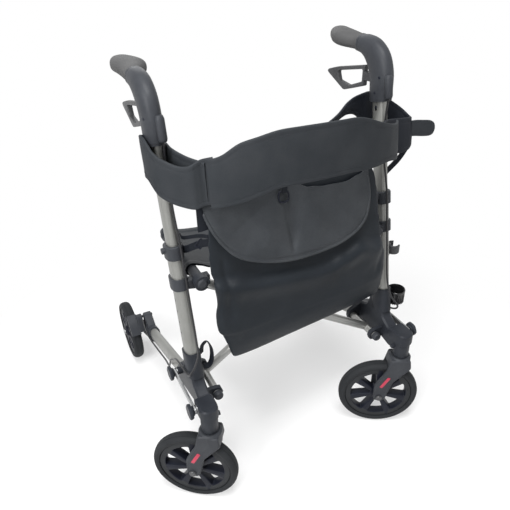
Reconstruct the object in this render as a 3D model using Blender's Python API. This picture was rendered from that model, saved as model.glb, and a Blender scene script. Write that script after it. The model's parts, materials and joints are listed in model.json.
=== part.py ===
# Four-wheel walker (rollator), modelled in metres with +Z up.
# The front faces -Y, the grips point to +Y, and left is the side of -X.
import math

import bmesh
import bpy
from mathutils import Matrix, Vector

# Wheels
FRONT_WHEEL_RADIUS = 0.100
REAR_WHEEL_RADIUS = 0.089
TYRE_WIDTH = 0.030
TYRE_DEPTH = 0.0165
RIM_BAND = 0.0135
SPOKE_COUNT = 7
SPOKE_WIDTH_AT_HUB = 0.010
SPOKE_WIDTH_AT_RIM = 0.018
RIM_WIDTH = 0.022
HUB_RADIUS = 0.017
HUB_WIDTH = 0.036
AXLE_RADIUS = 0.004
AXLE_HEAD_RADIUS = 0.008
AXLE_HEAD_DEPTH = 0.005

# Where the wheels stand
WHEELBASE = 0.580
REAR_WHEEL_STANDOFF = 0.044
CASTER_STANDOFF = 0.005
CASTER_TRAIL = 0.043
LEFT_CASTER_HEADING = math.radians(144.0)
RIGHT_CASTER_HEADING = math.radians(151.0)

# Caster fork
FORK_CLEARANCE = 0.0035
FORK_ARM_THICKNESS = 0.007
FORK_CROWN_TOP = 0.2287
FORK_CROWN_RADIUS = 0.026
FORK_END_RADIUS = 0.014
STEM_RADIUS = 0.006
STEM_TOP = 0.285

# Posts and handle stems: oval tubes that lean back
POST_HALF_TRACK = 0.250
PIVOT_INSET = 0.037
REAR_HALF_TRACK = POST_HALF_TRACK + REAR_WHEEL_STANDOFF
CASTER_HALF_TRACK = POST_HALF_TRACK + CASTER_STANDOFF
PIVOT_HALF_TRACK = POST_HALF_TRACK - PIVOT_INSET
POST_TILT = math.radians(10.2)
POST_FOOT_Y = -0.198
POST_FOOT_Z = 0.369
POST_BOTTOM = 0.335
SEAT_HEIGHT = 0.545
POST_TOP = SEAT_HEIGHT + 0.059
POST_WIDTH = 0.028
POST_DEPTH = 0.042
POST_WALL = 0.002
STEM_TUBE_WIDTH = 0.0225
STEM_TUBE_DEPTH = 0.0365
STEM_TUBE_WALL = 0.0016
STEM_TUBE_BOTTOM = 0.425
STEM_TUBE_TOP = 0.846
OVAL_POWER = 2.5
POST_LEAN = math.tan(POST_TILT)
HEIGHT_HOLES = 4
HEIGHT_HOLE_PITCH = 0.025
HEIGHT_HOLE_RADIUS = 0.0032
LOWEST_HEIGHT_HOLE = 0.425

# Collars on the posts
COLLAR_WALL = 0.0042
HEIGHT_CLAMP_BOTTOM = POST_TOP - 0.012
HEIGHT_CLAMP_TOP = POST_TOP + 0.016
SEAT_COLLAR_BOTTOM = SEAT_HEIGHT - 0.018
SEAT_COLLAR_TOP = SEAT_HEIGHT + 0.006
SEAT_ARM_WIDTH = 0.018

# Rear legs
LEG_WIDTH = 0.024
LEG_DEPTH = 0.036
LEG_WALL = 0.0018
LEG_SLOPE = -0.35
LEG_HEIGHT_AT_MIDDLE = 0.208
LEG_FRONT_Y = -0.146
LEG_REAR_Y = 0.190

BRACKET_WALL = 0.0045

# Lower joint and its side link
JOINT_THICKNESS = 0.036
JOINT_WEB = 0.0285
JOINT_SLEEVE_WALL = 0.004
JOINT_SLEEVE_BOTTOM = 0.318
JOINT_SLEEVE_TOP = 0.378
CASTER_HOUSING_RADIUS = 0.0205
CASTER_NECK_RADIUS = 0.0190
CASTER_BLOCK_BOTTOM = 0.268
CASTER_HOUSING_TOP = 0.300
LINK_HEIGHT = 0.285
LINK_STANDOFF = 0.0092
LINK_FRONT_Y = -0.276
LINK_REAR_Y = -0.149
LINK_WIDTH = 0.016
LINK_THICKNESS = 0.005
KNOB_RADIUS = 0.018
KNOB_DEPTH = 0.012

# Folding cross
LOW_PIVOT_HEIGHT = 0.267
REAR_BRACE_Y = -0.160
FRONT_BRACE_Y = -0.198
BRACE_RADIUS = 0.010
PIVOT_TUBE_RADIUS = 0.009
PIVOT_TUBE_FRONT_Y = -0.238
PIVOT_TUBE_REAR_Y = -0.136
PIVOT_CAP_LENGTH = 0.012
LUG_THICKNESS = 0.010
RAIL_RADIUS = 0.011
RAIL_FRONT_Y = -0.210
RAIL_REAR_Y = 0.038
RAIL_RING_RADIUS = 0.0165
RAIL_RING_WIDTH = 0.018
PIN_RADIUS = 0.004

# Handles, in the side plane
GRIP_START = (-0.042, 0.917)
GRIP_END = (0.060, 0.924)
GRIP_HALF_HEIGHT = 0.0165
GRIP_NECK_HALF_WIDTH = 0.0165
HOUSING_BOTTOM = 0.813
LEVER_PIVOT = (-0.102, 0.853)
LEVER_LOOP_Y = -0.064
LEVER_THICKNESS = 0.011
LEVER_LUG_RADIUS = 0.007
LEVER_PIN_RADIUS = 0.003
BOSS_INSET = 0.007

# Soft parts
SEAT_FRONT_Y = -0.148
SEAT_REAR_Y = 0.030
SEAT_SAG = 0.010
SHEET = 0.004
BAND_THICKNESS = 0.006
BAND_HALF_HEIGHT = 0.049
LOOP_HALF_HEIGHT = 0.043
BAND_BULGE_Y = -0.285
BAND_ROOT_Y = -0.128
TAB_REACH = 0.134
FLAP_TOP = 0.722
FLAP_BOTTOM = 0.549
FLAP_THICKNESS = 0.003

# Cane holder on the right post
CUP_RADIUS = 0.0215
CUP_WALL = 0.0022
CUP_HEIGHT = 0.033
CUP_RISE = 0.072
CUP_TOP = LINK_HEIGHT + CUP_RISE
CLIP_HEIGHT = SEAT_COLLAR_BOTTOM - 0.057
CLIP_RADIUS = 0.0155
CLIP_WALL = 0.004
CLIP_DEPTH = 0.022

# Clearances
CABLE_RADIUS = 0.0022
LEFT_CABLE_RISE = 0.016
GAP = 0.0003
RUNNING_GAP = 0.0003

SIDES = {"left": -1.0, "right": 1.0}
SEGMENTS = 24
FRONT_Y = -WHEELBASE / 2
REAR_Y = WHEELBASE / 2
SIDE_PLANE = Matrix(((0, 0, 1, 0), (1, 0, 0, 0), (0, 1, 0, 0), (0, 0, 0, 1)))
FRONT_PLANE = Matrix(((1, 0, 0, 0), (0, 0, -1, 0), (0, 1, 0, 0), (0, 0, 0, 1)))


# Scene and materials


def clear_scene():
    for obj in list(bpy.data.objects):
        bpy.data.objects.remove(obj, do_unlink=True)


def new_collection(name, hidden):
    collection = bpy.data.collections.new(name)
    collection.hide_render = hidden
    bpy.context.scene.collection.children.link(collection)
    return collection


def material(name, colour, roughness, metallic=0.0):
    found = bpy.data.materials.get(name)
    if found:
        return found
    made = bpy.data.materials.new(name)
    made.use_nodes = True
    made.diffuse_color = (*colour, 1.0)
    shader = made.node_tree.nodes["Principled BSDF"]
    shader.inputs["Base Color"].default_value = (*colour, 1.0)
    shader.inputs["Roughness"].default_value = roughness
    shader.inputs["Metallic"].default_value = metallic
    return made


def anodised():
    return material("anodised_aluminium", (0.62, 0.60, 0.55), 0.32, 1.0)


def zinc():
    return material("zinc_steel", (0.56, 0.57, 0.58), 0.35, 1.0)


def charcoal():
    return material("charcoal_plastic", (0.045, 0.047, 0.052), 0.48)


def grip_rubber():
    return material("grip_rubber", (0.035, 0.036, 0.038), 0.62)


def lever_plastic():
    return material("lever_plastic", (0.075, 0.077, 0.080), 0.45)


def tyre_rubber():
    return material("tyre_rubber", (0.070, 0.071, 0.073), 0.75)


def rim_plastic():
    return material("rim_plastic", (0.030, 0.032, 0.036), 0.40)


def gloss_black():
    return material("gloss_black", (0.012, 0.012, 0.013), 0.15)


def cable_sleeve():
    return material("cable_sleeve", (0.030, 0.030, 0.032), 0.40)


def webbing():
    return material("webbing", (0.020, 0.021, 0.025), 0.85)


def bag_nylon():
    return material("bag_nylon", (0.045, 0.048, 0.058), 0.60)


# Geometry


def oval(half_x, half_y, along=0.0, count=24, power=2.0, shift=(0.0, 0.0)):
    points = []
    for step in range(count):
        angle = 2 * math.pi * step / count
        cosine, sine = math.cos(angle), math.sin(angle)
        x = half_x * math.copysign(abs(cosine) ** (2 / power), cosine)
        y = half_y * math.copysign(abs(sine) ** (2 / power), sine)
        points.append(Vector((shift[0] + x, shift[1] + y, along)))
    return points


def frame_along(start, direction, across=(1.0, 0.0, 0.0)):
    z_axis = Vector(direction).normalized()
    x_axis = Vector(across)
    x_axis = (x_axis - x_axis.dot(z_axis) * z_axis).normalized()
    y_axis = z_axis.cross(x_axis)
    frame = Matrix((x_axis, y_axis, z_axis)).transposed().to_4x4()
    frame.translation = Vector(start)
    return frame


def skin(rings, frame=None, closed=False):
    """Faces between rings of points: a solid with two ends or, when closed, a ring-shaped solid."""
    frame = frame or Matrix.Identity(4)
    mesh = bmesh.new()
    loops = [[mesh.verts.new(frame @ point) for point in ring] for ring in rings]
    followers = loops[1:] + loops[:1] if closed else loops[1:]
    for ring, follower in zip(loops, followers):
        count = len(ring)
        for i in range(count):
            j = (i + 1) % count
            mesh.faces.new((ring[i], ring[j], follower[j], follower[i]))
    if not closed:
        mesh.faces.new(reversed(loops[0]))
        mesh.faces.new(loops[-1])
    return mesh


def turned(profile, frame, count=SEGMENTS, closed=False):
    """A solid of revolution about the frame's z axis. The profile lists radius and height."""
    rings = [oval(radius, radius, along, count) for radius, along in profile]
    return skin(rings, frame, closed)


def rod(start, end, radius, count=12):
    start, end = Vector(start), Vector(end)
    across = (0, 0, 1) if abs((end - start).normalized().x) > 0.9 else (1, 0, 0)
    frame = frame_along(start, end - start, across)
    length = (end - start).length
    return turned([(radius, 0.0), (radius, length)], frame, count)


def rounded(corners, steps=2):
    """An outline from corners given as x, y and fillet radius."""
    points = []
    count = len(corners)
    for i, (x, y, radius) in enumerate(corners):
        here = Vector((x, y))
        if radius == 0:
            points.append(here)
            continue
        before = Vector(corners[i - 1][:2]) - here
        after = Vector(corners[(i + 1) % count][:2]) - here
        opening = before.angle(after)
        reach = radius / math.tan(opening / 2)
        reach = min(reach, 0.49 * before.length, 0.49 * after.length)
        start = here + before.normalized() * reach
        end = here + after.normalized() * reach
        for step in range(steps + 1):
            t = step / steps
            points.append((1 - t) ** 2 * start + 2 * t * (1 - t) * here + t**2 * end)
    return points


def extruded(outline, low, high, plane, holes=(), bevel=0.0):
    """A plate from an outline in a plane, between two distances along the plane's normal."""
    curve = bpy.data.curves.new("outline", "CURVE")
    curve.dimensions = "2D"
    curve.fill_mode = "BOTH"
    curve.extrude = abs(high - low) / 2 - bevel
    curve.bevel_depth = bevel
    curve.bevel_resolution = 0
    curve.offset = -bevel
    for loop in (outline, *holes):
        spline = curve.splines.new("POLY")
        spline.points.add(len(loop) - 1)
        spline.use_cyclic_u = True
        for point, (x, y) in zip(spline.points, loop):
            point.co = (x, y, 0.0, 1.0)
    helper = bpy.data.objects.new("outline", curve)
    bpy.context.scene.collection.objects.link(helper)
    bpy.context.view_layer.update()
    graph = bpy.context.evaluated_depsgraph_get()
    flat = bpy.data.meshes.new_from_object(helper.evaluated_get(graph))
    mesh = bmesh.new()
    mesh.from_mesh(flat)
    bpy.data.objects.remove(helper, do_unlink=True)
    bpy.data.meshes.remove(flat)
    bpy.data.curves.remove(curve)
    bmesh.ops.remove_doubles(mesh, verts=mesh.verts, dist=1e-6)
    middle = Matrix.Translation((0, 0, (low + high) / 2))
    mesh.transform(plane @ middle)
    return mesh


def swept(stations, side):
    """A loft whose stations lie in the side plane: y, z, half width, half depth and lean."""
    rings = []
    for y, z, half_width, half_depth, lean, shift in stations:
        direction = (0.0, math.sin(lean), math.cos(lean))
        frame = frame_along((side * (POST_HALF_TRACK + shift), y, z), direction)
        ring = oval(half_width, half_depth, 0.0, 16, 2.3)
        rings.append([frame @ point for point in ring])
    return skin(rings)


def ribbon(path, rises, half_heights, leans, thickness):
    """A webbing strip on edge that follows a path in plan, with its own height and lean at each point."""
    front, back = [], []
    count = len(path)
    for i, (x, y) in enumerate(path):
        ahead = Vector(path[min(i + 1, count - 1)]) - Vector(path[max(i - 1, 0)])
        ahead.normalize()
        normal = Vector((ahead.y, -ahead.x)) * thickness / 2
        edge = Vector((0.0, leans[i] * half_heights[i], half_heights[i]))
        for faces, way in ((front, 1), (back, -1)):
            place = Vector((x + way * normal.x, y + way * normal.y, rises[i]))
            faces.append((place - edge, place + edge))
    rings = [[f[0], f[1], b[1], b[0]] for f, b in zip(front, back)]
    return skin(rings)


def smooth_path(corners, steps):
    """A Catmull-Rom curve through the given points."""
    points = [Vector(corner) for corner in corners]
    padded = [2 * points[0] - points[1], *points, 2 * points[-1] - points[-2]]
    made = []
    for i in range(len(points) - 1):
        p0, p1, p2, p3 = padded[i : i + 4]
        for step in range(steps):
            t = step / steps
            made.append(
                0.5
                * (
                    2 * p1
                    + (p2 - p0) * t
                    + (2 * p0 - 5 * p1 + 4 * p2 - p3) * t**2
                    + (3 * p1 - p0 - 3 * p2 + p3) * t**3
                )
            )
    made.append(points[-1])
    return made


# Objects


def add_object(name, mesh, finish, parent, pivot):
    bmesh.ops.remove_doubles(mesh, verts=mesh.verts, dist=1e-6)
    bmesh.ops.recalc_face_normals(mesh, faces=mesh.faces)
    mesh.transform(Matrix.Translation(-Vector(pivot)))
    data = bpy.data.meshes.new(name)
    mesh.to_mesh(data)
    mesh.free()
    if finish:
        data.materials.append(finish)
    obj = bpy.data.objects.new(name, data)
    obj.location = Vector(pivot) - parent["pivot"]
    obj.parent = parent["empty"]
    return obj


def body(name, pivot, parent=None):
    """An empty on a joint's axis, which carries the pieces that move together."""
    empty = bpy.data.objects.new(name, None)
    empty.empty_display_size = 0.02
    bpy.context.scene.collection.objects.link(empty)
    pivot = Vector(pivot)
    if parent:
        empty.parent = parent["empty"]
        empty.location = pivot - parent["pivot"]
    else:
        empty.location = pivot
    return {"empty": empty, "pivot": pivot}


def part(name, mesh, finish, parent, pivot=None):
    obj = add_object(name, mesh, finish, parent, pivot or parent["pivot"])
    PARTS.objects.link(obj)
    return obj


def cable(name, points, radius, finish, parent):
    """A round sleeve through points, as a curve with closed ends."""
    data = bpy.data.curves.new(name, "CURVE")
    data.dimensions = "3D"
    data.bevel_depth = radius
    data.bevel_resolution = 2
    data.use_fill_caps = True
    data.materials.append(finish)
    spline = data.splines.new("POLY")
    spline.points.add(len(points) - 1)
    for place, point in zip(spline.points, points):
        place.co = (*(Vector(point) - parent["pivot"]), 1)
    obj = bpy.data.objects.new(name, data)
    obj.parent = parent["empty"]
    PARTS.objects.link(obj)
    return obj


def combine(obj, parent, operation, *meshes):
    """Adds or cuts each mesh in turn with an exact Boolean."""
    for mesh in meshes:
        number = len(obj.modifiers) + 1
        cutter = add_object(f"{obj.name}_tool_{number}", mesh, None, parent, parent["pivot"])
        cutter.display_type = "WIRE"
        cutter.hide_render = True
        TOOLS.objects.link(cutter)
        modifier = obj.modifiers.new(f"{operation.lower()}_{number}", "BOOLEAN")
        modifier.operation = operation
        modifier.solver = "EXACT"
        modifier.object = cutter
    return obj


def join(obj, parent, *meshes):
    return combine(obj, parent, "UNION", *meshes)


def cut(obj, parent, *meshes):
    return combine(obj, parent, "DIFFERENCE", *meshes)


# Places on the frame


def post_y(height):
    return POST_FOOT_Y + (height - POST_FOOT_Z) * math.tan(POST_TILT)


def post_frame(side, height):
    start = (side * POST_HALF_TRACK, post_y(height), height)
    return frame_along(start, (0, math.sin(POST_TILT), math.cos(POST_TILT)))


def along_post(height, start):
    return (height - start) / math.cos(POST_TILT)


def leg_z(y):
    return LEG_HEIGHT_AT_MIDDLE + LEG_SLOPE * y


def leg_frame(side, y):
    return frame_along((side * POST_HALF_TRACK, y, leg_z(y)), (0, 1, LEG_SLOPE))


def leg_length(y_from, y_to):
    return (y_to - y_from) * math.hypot(1, LEG_SLOPE)


def post_solid(side, low, high, margin):
    """The post's outer shape, grown by a margin, as a cutter or a collar."""
    half_x, half_y = POST_WIDTH / 2 + margin, POST_DEPTH / 2 + margin
    rings = [
        oval(half_x, half_y, along_post(height, low), 20, OVAL_POWER)
        for height in (low, high)
    ]
    return skin(rings, post_frame(side, low))


def stem_solid(side, low, high, margin):
    half_x, half_y = STEM_TUBE_WIDTH / 2 + margin, STEM_TUBE_DEPTH / 2 + margin
    rings = [
        oval(half_x, half_y, along_post(height, low), 20, OVAL_POWER)
        for height in (low, high)
    ]
    return skin(rings, post_frame(side, low))


def leg_solid(side, y_from, y_to, margin):
    half_x, half_y = LEG_WIDTH / 2 + margin, LEG_DEPTH / 2 + margin
    rings = [
        oval(half_x, half_y, along, 20, OVAL_POWER)
        for along in (0.0, leg_length(y_from, y_to))
    ]
    return skin(rings, leg_frame(side, y_from))


def brace_rise():
    return (SEAT_HEIGHT - LOW_PIVOT_HEIGHT) / 2


# Upright tubes and handles


def front_post(name, side, parent):
    half_x, half_y = POST_WIDTH / 2, POST_DEPTH / 2
    length = along_post(POST_TOP, POST_BOTTOM)
    sizes = (
        (half_x, half_y, 0.0),
        (half_x, half_y, length),
        (half_x - POST_WALL, half_y - POST_WALL, length),
        (half_x - POST_WALL, half_y - POST_WALL, 0.0),
    )
    rings = [oval(x, y, along, 20, OVAL_POWER) for x, y, along in sizes]
    mesh = skin(rings, post_frame(side, POST_BOTTOM), closed=True)
    tube = part(f"front_post_{name}", mesh, anodised(), parent)
    holes = []
    for index in range(HEIGHT_HOLES):
        height = LOWEST_HEIGHT_HOLE + index * HEIGHT_HOLE_PITCH
        start = (side * POST_HALF_TRACK, post_y(height), height)
        end = (side * (POST_HALF_TRACK + POST_WIDTH), post_y(height), height)
        holes.append(rod(start, end, HEIGHT_HOLE_RADIUS, 8))
    return cut(tube, parent, *holes)


def handle_stem(name, side, parent):
    half_x, half_y = STEM_TUBE_WIDTH / 2, STEM_TUBE_DEPTH / 2
    length = along_post(STEM_TUBE_TOP, STEM_TUBE_BOTTOM)
    sizes = (
        (half_x, half_y, 0.0),
        (half_x, half_y, length),
        (half_x - STEM_TUBE_WALL, half_y - STEM_TUBE_WALL, length),
        (half_x - STEM_TUBE_WALL, half_y - STEM_TUBE_WALL, 0.0),
    )
    rings = [oval(x, y, along, 20, OVAL_POWER) for x, y, along in sizes]
    mesh = skin(rings, post_frame(side, STEM_TUBE_BOTTOM), closed=True)
    tube = part(f"handle_stem_{name}", mesh, anodised(), parent)
    height = HOUSING_BOTTOM - 0.016
    start = (side * POST_HALF_TRACK, post_y(height), height)
    end = (side * (POST_HALF_TRACK - STEM_TUBE_WIDTH), post_y(height), height)
    return cut(tube, parent, rod(start, end, 0.004, 12))


def handle_housing(name, side, parent):
    """The gooseneck moulding: a swelling sweep from the stem round to the grip."""
    bottom_y = post_y(HOUSING_BOTTOM)
    stations = (
        (bottom_y, HOUSING_BOTTOM, 0.0180, 0.0275, POST_TILT, 0.0),
        (-0.1185, 0.838, 0.0182, 0.0290, math.radians(11), 0.0),
        (-0.1150, 0.866, 0.0186, 0.0300, math.radians(17), 0.0),
        (-0.1025, 0.892, 0.0190, 0.0300, math.radians(33), 0.0),
        (-0.0825, 0.909, 0.0190, 0.0255, math.radians(55), 0.0),
        (-0.0610, 0.916, 0.0184, 0.0205, math.radians(78), 0.0),
        (GRIP_START[0] - GAP, GRIP_START[1], 0.0180, 0.0178, math.radians(90), 0.0),
    )
    shell = part(f"handle_housing_{name}", swept(stations, side), charcoal(), parent)
    middle = side * POST_HALF_TRACK
    boss_x = side * (POST_HALF_TRACK - BOSS_INSET)
    boss = turned(
        [(0.0072, 0.0), (0.0085, 0.004), (0.0085, 0.040), (0.0065, 0.046)],
        frame_along((boss_x, post_y(0.826) - 0.038, 0.826), (0, 0.16, 1)),
        16,
    )
    join(shell, parent, boss)
    socket = stem_solid(side, HOUSING_BOTTOM - 0.01, STEM_TUBE_TOP + 0.003, GAP)
    slot_half = LEVER_THICKNESS / 2 + 0.0008
    y, z = LEVER_PIVOT
    slot = rounded(
        (
            (y - 0.011, z - 0.014, 0.008),
            (y + 0.062, z - 0.036, 0.0),
            (y + 0.062, z + 0.050, 0.0),
            (y - 0.011, z + 0.014, 0.008),
        )
    )
    mouth = extruded(slot, middle - slot_half, middle + slot_half, SIDE_PLANE)
    reach = 0.030
    pin_hole = rod((middle - reach, y, z), (middle + reach, y, z), LEVER_PIN_RADIUS + GAP, 12)
    return cut(shell, parent, socket, mouth, pin_hole)


def hand_grip(name, side, parent):
    """The palm-shaped grip: round at its neck, wide and flattened where the palm rests."""
    start_y, start_z = GRIP_START
    end_y, end_z = GRIP_END
    shape = (
        (0.00, 1.06, 1.06, 0.0),
        (0.06, 1.08, 1.10, 0.0),
        (0.09, 0.98, 1.00, 0.0),
        (0.22, 0.98, 1.32, -0.0035),
        (0.42, 1.00, 1.74, -0.0080),
        (0.62, 0.98, 1.76, -0.0060),
        (0.82, 0.98, 1.48, 0.0000),
        (0.93, 0.92, 1.22, 0.0020),
        (0.98, 0.76, 1.04, 0.0022),
        (1.00, 0.50, 0.76, 0.0022),
    )
    stations = []
    for share, height_factor, width_factor, shift in shape:
        y = start_y + share * (end_y - start_y)
        z = start_z + share * (end_z - start_z) + 0.002 * math.sin(math.pi * share)
        half_width = GRIP_NECK_HALF_WIDTH * width_factor
        half_height = GRIP_HALF_HEIGHT * height_factor
        stations.append((y, z, half_width, half_height, math.radians(90), shift))
    return part(f"hand_grip_{name}", swept(stations, side), grip_rubber(), parent)


def lever_outline():
    return rounded(
        (
            (LEVER_LOOP_Y, 0.876, 0.004),
            (0.040, 0.854, 0.030),
            (0.086, 0.840, 0.007),
            (0.010, 0.808, 0.014),
            (-0.022, 0.818, 0.012),
            (LEVER_LOOP_Y, 0.832, 0.004),
        )
    )


def lever_opening():
    return rounded(
        (
            (LEVER_LOOP_Y + 0.0075, 0.866, 0.004),
            (0.036, 0.8465, 0.006),
            (0.028, 0.8265, 0.006),
            (-0.010, 0.8225, 0.012),
            (LEVER_LOOP_Y + 0.0075, 0.840, 0.005),
        )
    )


def brake_lever(name, side, parent, pivot):
    """A closed loop lever with a lug in the housing's slot and its pin."""
    middle = side * POST_HALF_TRACK
    half = LEVER_THICKNESS / 2
    mesh = extruded(
        lever_outline(), middle - half, middle + half, SIDE_PLANE, [lever_opening()], 0.0016
    )
    lever = part(f"brake_lever_{name}", mesh, lever_plastic(), parent, pivot)
    y, z = LEVER_PIVOT
    lug = rounded(
        (
            (y - LEVER_LUG_RADIUS, z - LEVER_LUG_RADIUS, LEVER_LUG_RADIUS),
            (LEVER_LOOP_Y + 0.004, z - 0.008, 0.0),
            (LEVER_LOOP_Y + 0.004, z + 0.010, 0.0),
            (y - LEVER_LUG_RADIUS, z + LEVER_LUG_RADIUS, LEVER_LUG_RADIUS),
        )
    )
    tongue = extruded(lug, middle - half + 0.0005, middle + half - 0.0005, SIDE_PLANE)
    reach = 0.0165
    pin = rod((middle - reach, y, z), (middle + reach, y, z), LEVER_PIN_RADIUS, 12)
    return join(lever, parent, tongue, pin)


def height_clamp(name, side, parent):
    """The collar that grips the stem where it leaves the post."""
    outer_x = POST_WIDTH / 2 + COLLAR_WALL
    outer_y = POST_DEPTH / 2 + COLLAR_WALL
    mouth_x = STEM_TUBE_WIDTH / 2 + GAP
    mouth_y = STEM_TUBE_DEPTH / 2 + GAP
    bore_x = POST_WIDTH / 2 + GAP
    bore_y = POST_DEPTH / 2 + GAP
    top = along_post(HEIGHT_CLAMP_TOP, HEIGHT_CLAMP_BOTTOM)
    step = along_post(POST_TOP, HEIGHT_CLAMP_BOTTOM) + GAP
    sizes = (
        (outer_x, outer_y, 0.0),
        (outer_x, outer_y, top - 0.002),
        (outer_x - 0.002, outer_y - 0.002, top),
        (mouth_x, mouth_y, top),
        (mouth_x, mouth_y, step),
        (bore_x, bore_y, step),
        (bore_x, bore_y, 0.0),
    )
    rings = [oval(x, y, along, 20, OVAL_POWER) for x, y, along in sizes]
    mesh = skin(rings, post_frame(side, HEIGHT_CLAMP_BOTTOM), closed=True)
    clamp = part(f"height_clamp_{name}", mesh, charcoal(), parent)
    height = (HEIGHT_CLAMP_BOTTOM + HEIGHT_CLAMP_TOP) / 2 + 0.004
    start = (side * (POST_HALF_TRACK + bore_x + 0.0015), post_y(height), height)
    end = (side * (POST_HALF_TRACK + outer_x + 0.006), post_y(height), height)
    return join(clamp, parent, rod(start, end, 0.0065, 12))


def seat_bracket(name, side, parent):
    """The collar under the clamp, with an arm whose saddle carries the seat rail."""
    mesh = post_solid(side, SEAT_COLLAR_BOTTOM, SEAT_COLLAR_TOP, COLLAR_WALL)
    bracket = part(f"seat_bracket_{name}", mesh, charcoal(), parent)
    ring_y = FRONT_BRACE_Y if side < 0 else REAR_BRACE_Y
    clear = RAIL_RING_WIDTH / 2 + 0.003
    if side < 0:
        low_y, high_y = ring_y + clear, ring_y + clear + SEAT_ARM_WIDTH
    else:
        low_y, high_y = ring_y - clear - SEAT_ARM_WIDTH, ring_y - clear
    inner = PIVOT_HALF_TRACK - 0.025
    outline = rounded(
        (
            (side * POST_HALF_TRACK, SEAT_COLLAR_BOTTOM + 0.002, 0.0),
            (side * inner, SEAT_HEIGHT - 0.030, 0.010),
            (side * inner, SEAT_HEIGHT + 0.002, 0.003),
            (side * POST_HALF_TRACK, SEAT_HEIGHT + 0.002, 0.0),
        )
    )
    arm = extruded(outline, -high_y, -low_y, FRONT_PLANE, bevel=0.002)
    join(bracket, parent, arm)
    bore = post_solid(side, SEAT_COLLAR_BOTTOM - 0.03, SEAT_COLLAR_TOP + 0.03, GAP)
    reach = RAIL_RADIUS + GAP
    trough = rounded(
        (
            (side * PIVOT_HALF_TRACK - reach, SEAT_HEIGHT + 0.030, 0.0),
            (side * PIVOT_HALF_TRACK - reach, SEAT_HEIGHT - reach, reach),
            (side * PIVOT_HALF_TRACK + reach, SEAT_HEIGHT - reach, reach),
            (side * PIVOT_HALF_TRACK + reach, SEAT_HEIGHT + 0.030, 0.0),
        ),
        6,
    )
    rail_way = extruded(trough, -high_y - 0.01, -low_y + 0.01, FRONT_PLANE)
    return cut(bracket, parent, bore, rail_way)


# Lower joint, leg and side link


def joint_outline():
    return rounded(
        (
            (-0.176, 0.350, 0.004),
            (-0.221, 0.350, 0.004),
            (-0.229, 0.310, 0.020),
            (-0.255, 0.294, 0.016),
            (-0.290, 0.292, 0.006),
            (-0.290, 0.246, 0.010),
            (-0.262, 0.244, 0.010),
            (-0.222, 0.254, 0.020),
            (-0.150, 0.234, 0.010),
            (-0.118, 0.221, 0.006),
            (-0.110, 0.266, 0.006),
            (-0.138, 0.299, 0.016),
            (-0.166, 0.310, 0.016),
        )
    )


def lower_joint(name, side, parent):
    """The three-way moulding that holds post, leg, caster and the folding cross."""
    middle = side * POST_HALF_TRACK
    half = JOINT_WEB / 2
    mesh = extruded(joint_outline(), middle - half, middle + half, SIDE_PLANE, bevel=0.004)
    joint = part(f"lower_joint_{name}", mesh, charcoal(), parent)
    join(joint, parent, post_solid(side, JOINT_SLEEVE_BOTTOM, JOINT_SLEEVE_TOP, JOINT_SLEEVE_WALL))
    stem_x = side * CASTER_HALF_TRACK
    base = FORK_CROWN_TOP + GAP
    housing = turned(
        [
            (CASTER_NECK_RADIUS - 0.002, 0.0),
            (CASTER_NECK_RADIUS, 0.003),
            (CASTER_NECK_RADIUS, CASTER_BLOCK_BOTTOM - base + 0.004),
        ],
        frame_along((stem_x, FRONT_Y, base), (0, 0, 1)),
        20,
    )
    join(joint, parent, housing)
    wide, nose = CASTER_HOUSING_RADIUS, CASTER_HOUSING_RADIUS - 0.0005
    plan = rounded(
        (
            (stem_x - wide, FRONT_Y + 0.032, 0.006),
            (stem_x - wide, FRONT_Y - wide, nose),
            (stem_x + wide, FRONT_Y - wide, nose),
            (stem_x + wide, FRONT_Y + 0.032, 0.006),
        ),
        4,
    )
    block = extruded(plan, CASTER_BLOCK_BOTTOM, CASTER_HOUSING_TOP, Matrix.Identity(4), bevel=0.003)
    join(joint, parent, block)
    inner = POST_HALF_TRACK - half + 0.004
    pivot_x = side * PIVOT_HALF_TRACK
    lug_radius = PIVOT_TUBE_RADIUS + 0.0055
    for low_y, height in ((PIVOT_TUBE_FRONT_Y + 0.002, 0.016), (PIVOT_TUBE_REAR_Y - LUG_THICKNESS, 0.034)):
        outline = rounded(
            (
                (side * inner, LOW_PIVOT_HEIGHT - 0.012, 0.0),
                (pivot_x - side * lug_radius, LOW_PIVOT_HEIGHT - lug_radius, lug_radius),
                (pivot_x - side * lug_radius, LOW_PIVOT_HEIGHT + lug_radius, lug_radius),
                (side * inner, LOW_PIVOT_HEIGHT + height, 0.0),
            )
        )
        lug = extruded(outline, -low_y - LUG_THICKNESS, -low_y, FRONT_PLANE)
        join(joint, parent, lug)
    bolt_z = 0.260
    bolt = rod(
        (side * (POST_HALF_TRACK - half + 0.006), -0.284, bolt_z),
        (side * (POST_HALF_TRACK - half - 0.008), -0.284, bolt_z),
        0.0055,
        6,
    )
    join(joint, parent, bolt)
    face = POST_HALF_TRACK + JOINT_THICKNESS / 2
    for y in (LINK_FRONT_Y, LINK_REAR_Y):
        boss = rod(
            (side * (POST_HALF_TRACK + half - 0.004), y, LINK_HEIGHT),
            (side * (face + LINK_STANDOFF), y, LINK_HEIGHT),
            0.009,
        )
        join(joint, parent, boss)
    post_socket = post_solid(side, POST_BOTTOM - 0.001, 0.45, GAP)
    leg_socket = leg_solid(side, LEG_FRONT_Y - 0.001, 0.02, GAP)
    stem_bore = rod((stem_x, FRONT_Y, 0.2), (stem_x, FRONT_Y, STEM_TOP + 0.002), STEM_RADIUS + RUNNING_GAP)
    tube_bore = rod(
        (pivot_x, PIVOT_TUBE_FRONT_Y - 0.05, LOW_PIVOT_HEIGHT),
        (pivot_x, PIVOT_TUBE_REAR_Y + 0.05, LOW_PIVOT_HEIGHT),
        PIVOT_TUBE_RADIUS + RUNNING_GAP + 0.0002,
    )
    return cut(joint, parent, post_socket, leg_socket, stem_bore, tube_bore)


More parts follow.
